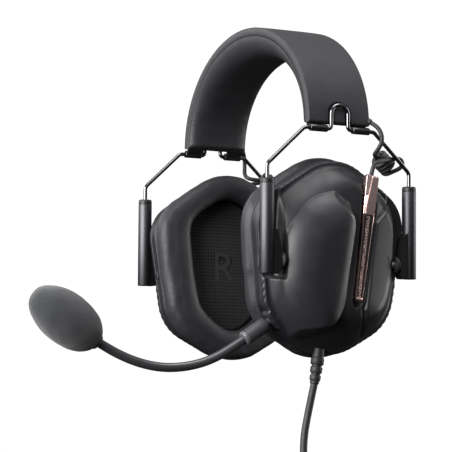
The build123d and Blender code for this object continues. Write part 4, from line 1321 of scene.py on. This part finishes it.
def boom_pieces():
    """Holder, collar, gooseneck, and the foam with its lip."""
    place, aim = leaned_axis(BOOM_AT + BOOM_AIM * 7.5, BOOM_AIM)
    profile = [
        (0.0, 2.2), (0.0, 3.2), (0.25, 3.7), (0.8, 4.0), (4.4, 4.0), (4.5, 3.86), (5.0, 3.86), (5.1, 4.0),
        (12.9, 3.95), (13.0, 3.6), (13.3, 3.6),
    ]
    holder = lathe("boom_socket", place, aim, profile, M["boom_plastic"], "boom", segments=64)
    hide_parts("boom_holder")
    collar = lathe("boom_collar", place + aim.normalized() * 13.1, aim,
                   [(0.0, 2.5), (0.0, 3.9), (0.15, 4.02), (1.5, 3.98), (1.9, 3.7), (2.2, 3.0), (2.3, 2.5)],
                   M["collar"], "boom", segments=64)
    route = [BOOM_AT + BOOM_AIM * 13.5, BOOM_AT + BOOM_AIM * 20, BOOM_AT + BOOM_AIM * 27.9]
    route += [Vector(p) for p in GOOSE_POINTS] + [FOAM_CENTRE - FOAM_AIM * 14, FOAM_CENTRE - FOAM_AIM * 6]
    neck = nurbs("boom_gooseneck", [to_side(p, 1) for p in lean([tuple(p) for p in route])],
                 2.4 * MM, M["goose_black"], "boom", 10, 10)
    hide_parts("gooseneck")
    centre, aim = leaned_axis(FOAM_CENTRE, FOAM_AIM)
    a, e1, e2 = basis(aim)
    rows, segments, verts = 72, 96, []
    for i in range(rows + 1):
        t = pi * i / rows
        for k in range(segments):
            s = 2 * pi * k / segments
            along = -cos(t) * FOAM_LONG / 2
            wide = max(sin(t), 1e-3) ** 0.92 * FOAM_WIDE / 2 * (1 + 0.035 * cos(t))
            p = centre + a * along + (e1 * cos(s) + e2 * sin(s)) * wide
            rough = noise.noise(p * 0.9) * 0.14 + noise.noise(p * 0.16) * 0.25
            verts.append(p + (p - centre).normalized() * (rough - 0.2))
    faces = grid_faces(rows + 1, segments) + end_faces(rows + 1, segments)
    foam = make_object("boom_foam", verts, faces, M["foam"])
    outwards(foam)
    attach(foam, "boom")
    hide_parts("foam_windscreen")
    ring_at = centre - aim.normalized() * (FOAM_LONG / 2 - 0.6)
    lip = lathe("boom_foam_lip", ring_at, aim,
                [(-0.9, 2.5), (-0.9, 3.3), (-0.4, 3.9), (0.4, 4.2), (1.4, 4.0), (1.6, 2.5)],
                M["foam"], "boom")


boom_pieces()

# ---- finishes of the CAD nodes that stay ----
STAYS = {
    "headband_spring": "spring_steel", "headband_wire": "cord", "clip_rivets": "steel",
    "band_glands": "cord", "cable_tie": "black_rubber", "boom_pin": "steel",
    "boom_knuckle": "boom_plastic", "mic_capsule": "driver_metal",
}
for side, _ in SIDES:
    STAYS.update({
        f"{side}_yoke_wire": "dark_steel", f"{side}_friction_bushes": "nylon",
        f"{side}_pivot_brackets": "bracket", f"{side}_pivot_pins": "steel",
        f"{side}_driver_baffle": "black_plastic", f"{side}_driver": "driver_metal",
        f"{side}_housing_screws": "steel",
    })
for node, finish in STAYS.items():
    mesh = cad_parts[node].data
    mesh.materials.clear()
    mesh.materials.append(M[finish])

# ---- studio ----
def studio():
    """Flat pale floor, soft area lights, and a world that the camera sees as plain white."""
    floor_z = cad_box[0][2] - 0.002
    mat, tree, bsdf, vector = shader("studio_pale")
    tone = noise_node(tree, vector, 400.0, 2.0)
    tint(tree, bsdf, tone, 0.3, (0.90, 0.90, 0.90), 0.7, (0.94, 0.94, 0.94))
    bsdf.inputs["Roughness"].default_value = 0.9
    bsdf.inputs["Specular IOR Level"].default_value = 0.1
    size = 0.9 / MM
    verts = [(x, y, floor_z / MM) for x in (-size, size) for y in (-size, size)]
    floor = make_object("floor", verts, [(0, 2, 3, 1)], mat)
    # the floor is seen, but throws no light back on the object
    floor.visible_diffuse = floor.visible_glossy = False
    world = bpy.data.worlds.new("studio")
    bpy.context.scene.world = world
    world.use_nodes = True
    nodes, links = world.node_tree.nodes, world.node_tree.links
    # the camera's rays see white; all others see a room that is darker below
    white = nodes["Background"]
    white.inputs["Color"].default_value = (1.0, 1.0, 1.0, 1)
    white.inputs["Strength"].default_value = 1.05
    room = nodes.new("ShaderNodeBackground")
    room.inputs["Strength"].default_value = 0.50
    place, split = nodes.new("ShaderNodeTexCoord"), nodes.new("ShaderNodeSeparateXYZ")
    links.new(place.outputs["Generated"], split.inputs["Vector"])
    sky = nodes.new("ShaderNodeValToRGB")
    for at, tone in zip(sky.color_ramp.elements, (0.06, 0.80)):
        at.color = (tone * 0.95, tone * 0.97, tone, 1)
    sky.color_ramp.elements[0].position, sky.color_ramp.elements[1].position = 0.0, 0.75
    links.new(split.outputs["Z"], sky.inputs["Fac"])
    links.new(sky.outputs["Color"], room.inputs["Color"])
    path, mix = nodes.new("ShaderNodeLightPath"), nodes.new("ShaderNodeMixShader")
    links.new(path.outputs["Is Camera Ray"], mix.inputs["Fac"])
    links.new(room.outputs["Background"], mix.inputs[1])
    links.new(white.outputs["Background"], mix.inputs[2])
    links.new(mix.outputs["Shader"], nodes["World Output"].inputs["Surface"])
    target = Vector((0.02, -0.03, -0.09))
    for name, place, width, height, power in (
            ("key", (0.30, -1.40, 0.25), 1.6, 1.2, 62.0),
            ("top", (0.35, 0.05, 1.15), 0.9, 0.9, 13.0),
            ("rear", (0.20, 1.30, 0.10), 0.7, 1.1, 10.0),
            ("far", (-1.0, -0.6, 0.5), 0.7, 0.7, 5.0)):
        data = bpy.data.lights.new(name, "AREA")
        data.shape = "RECTANGLE"
        data.size, data.size_y = width, height
        data.energy = power
        lamp = bpy.data.objects.new(name, data)
        lamp.location = place
        lamp.rotation_euler = (target - Vector(place)).to_track_quat("-Z", "Y").to_euler()
        bpy.context.scene.collection.objects.link(lamp)
    bpy.context.scene.view_settings.view_transform = "Standard"


studio()
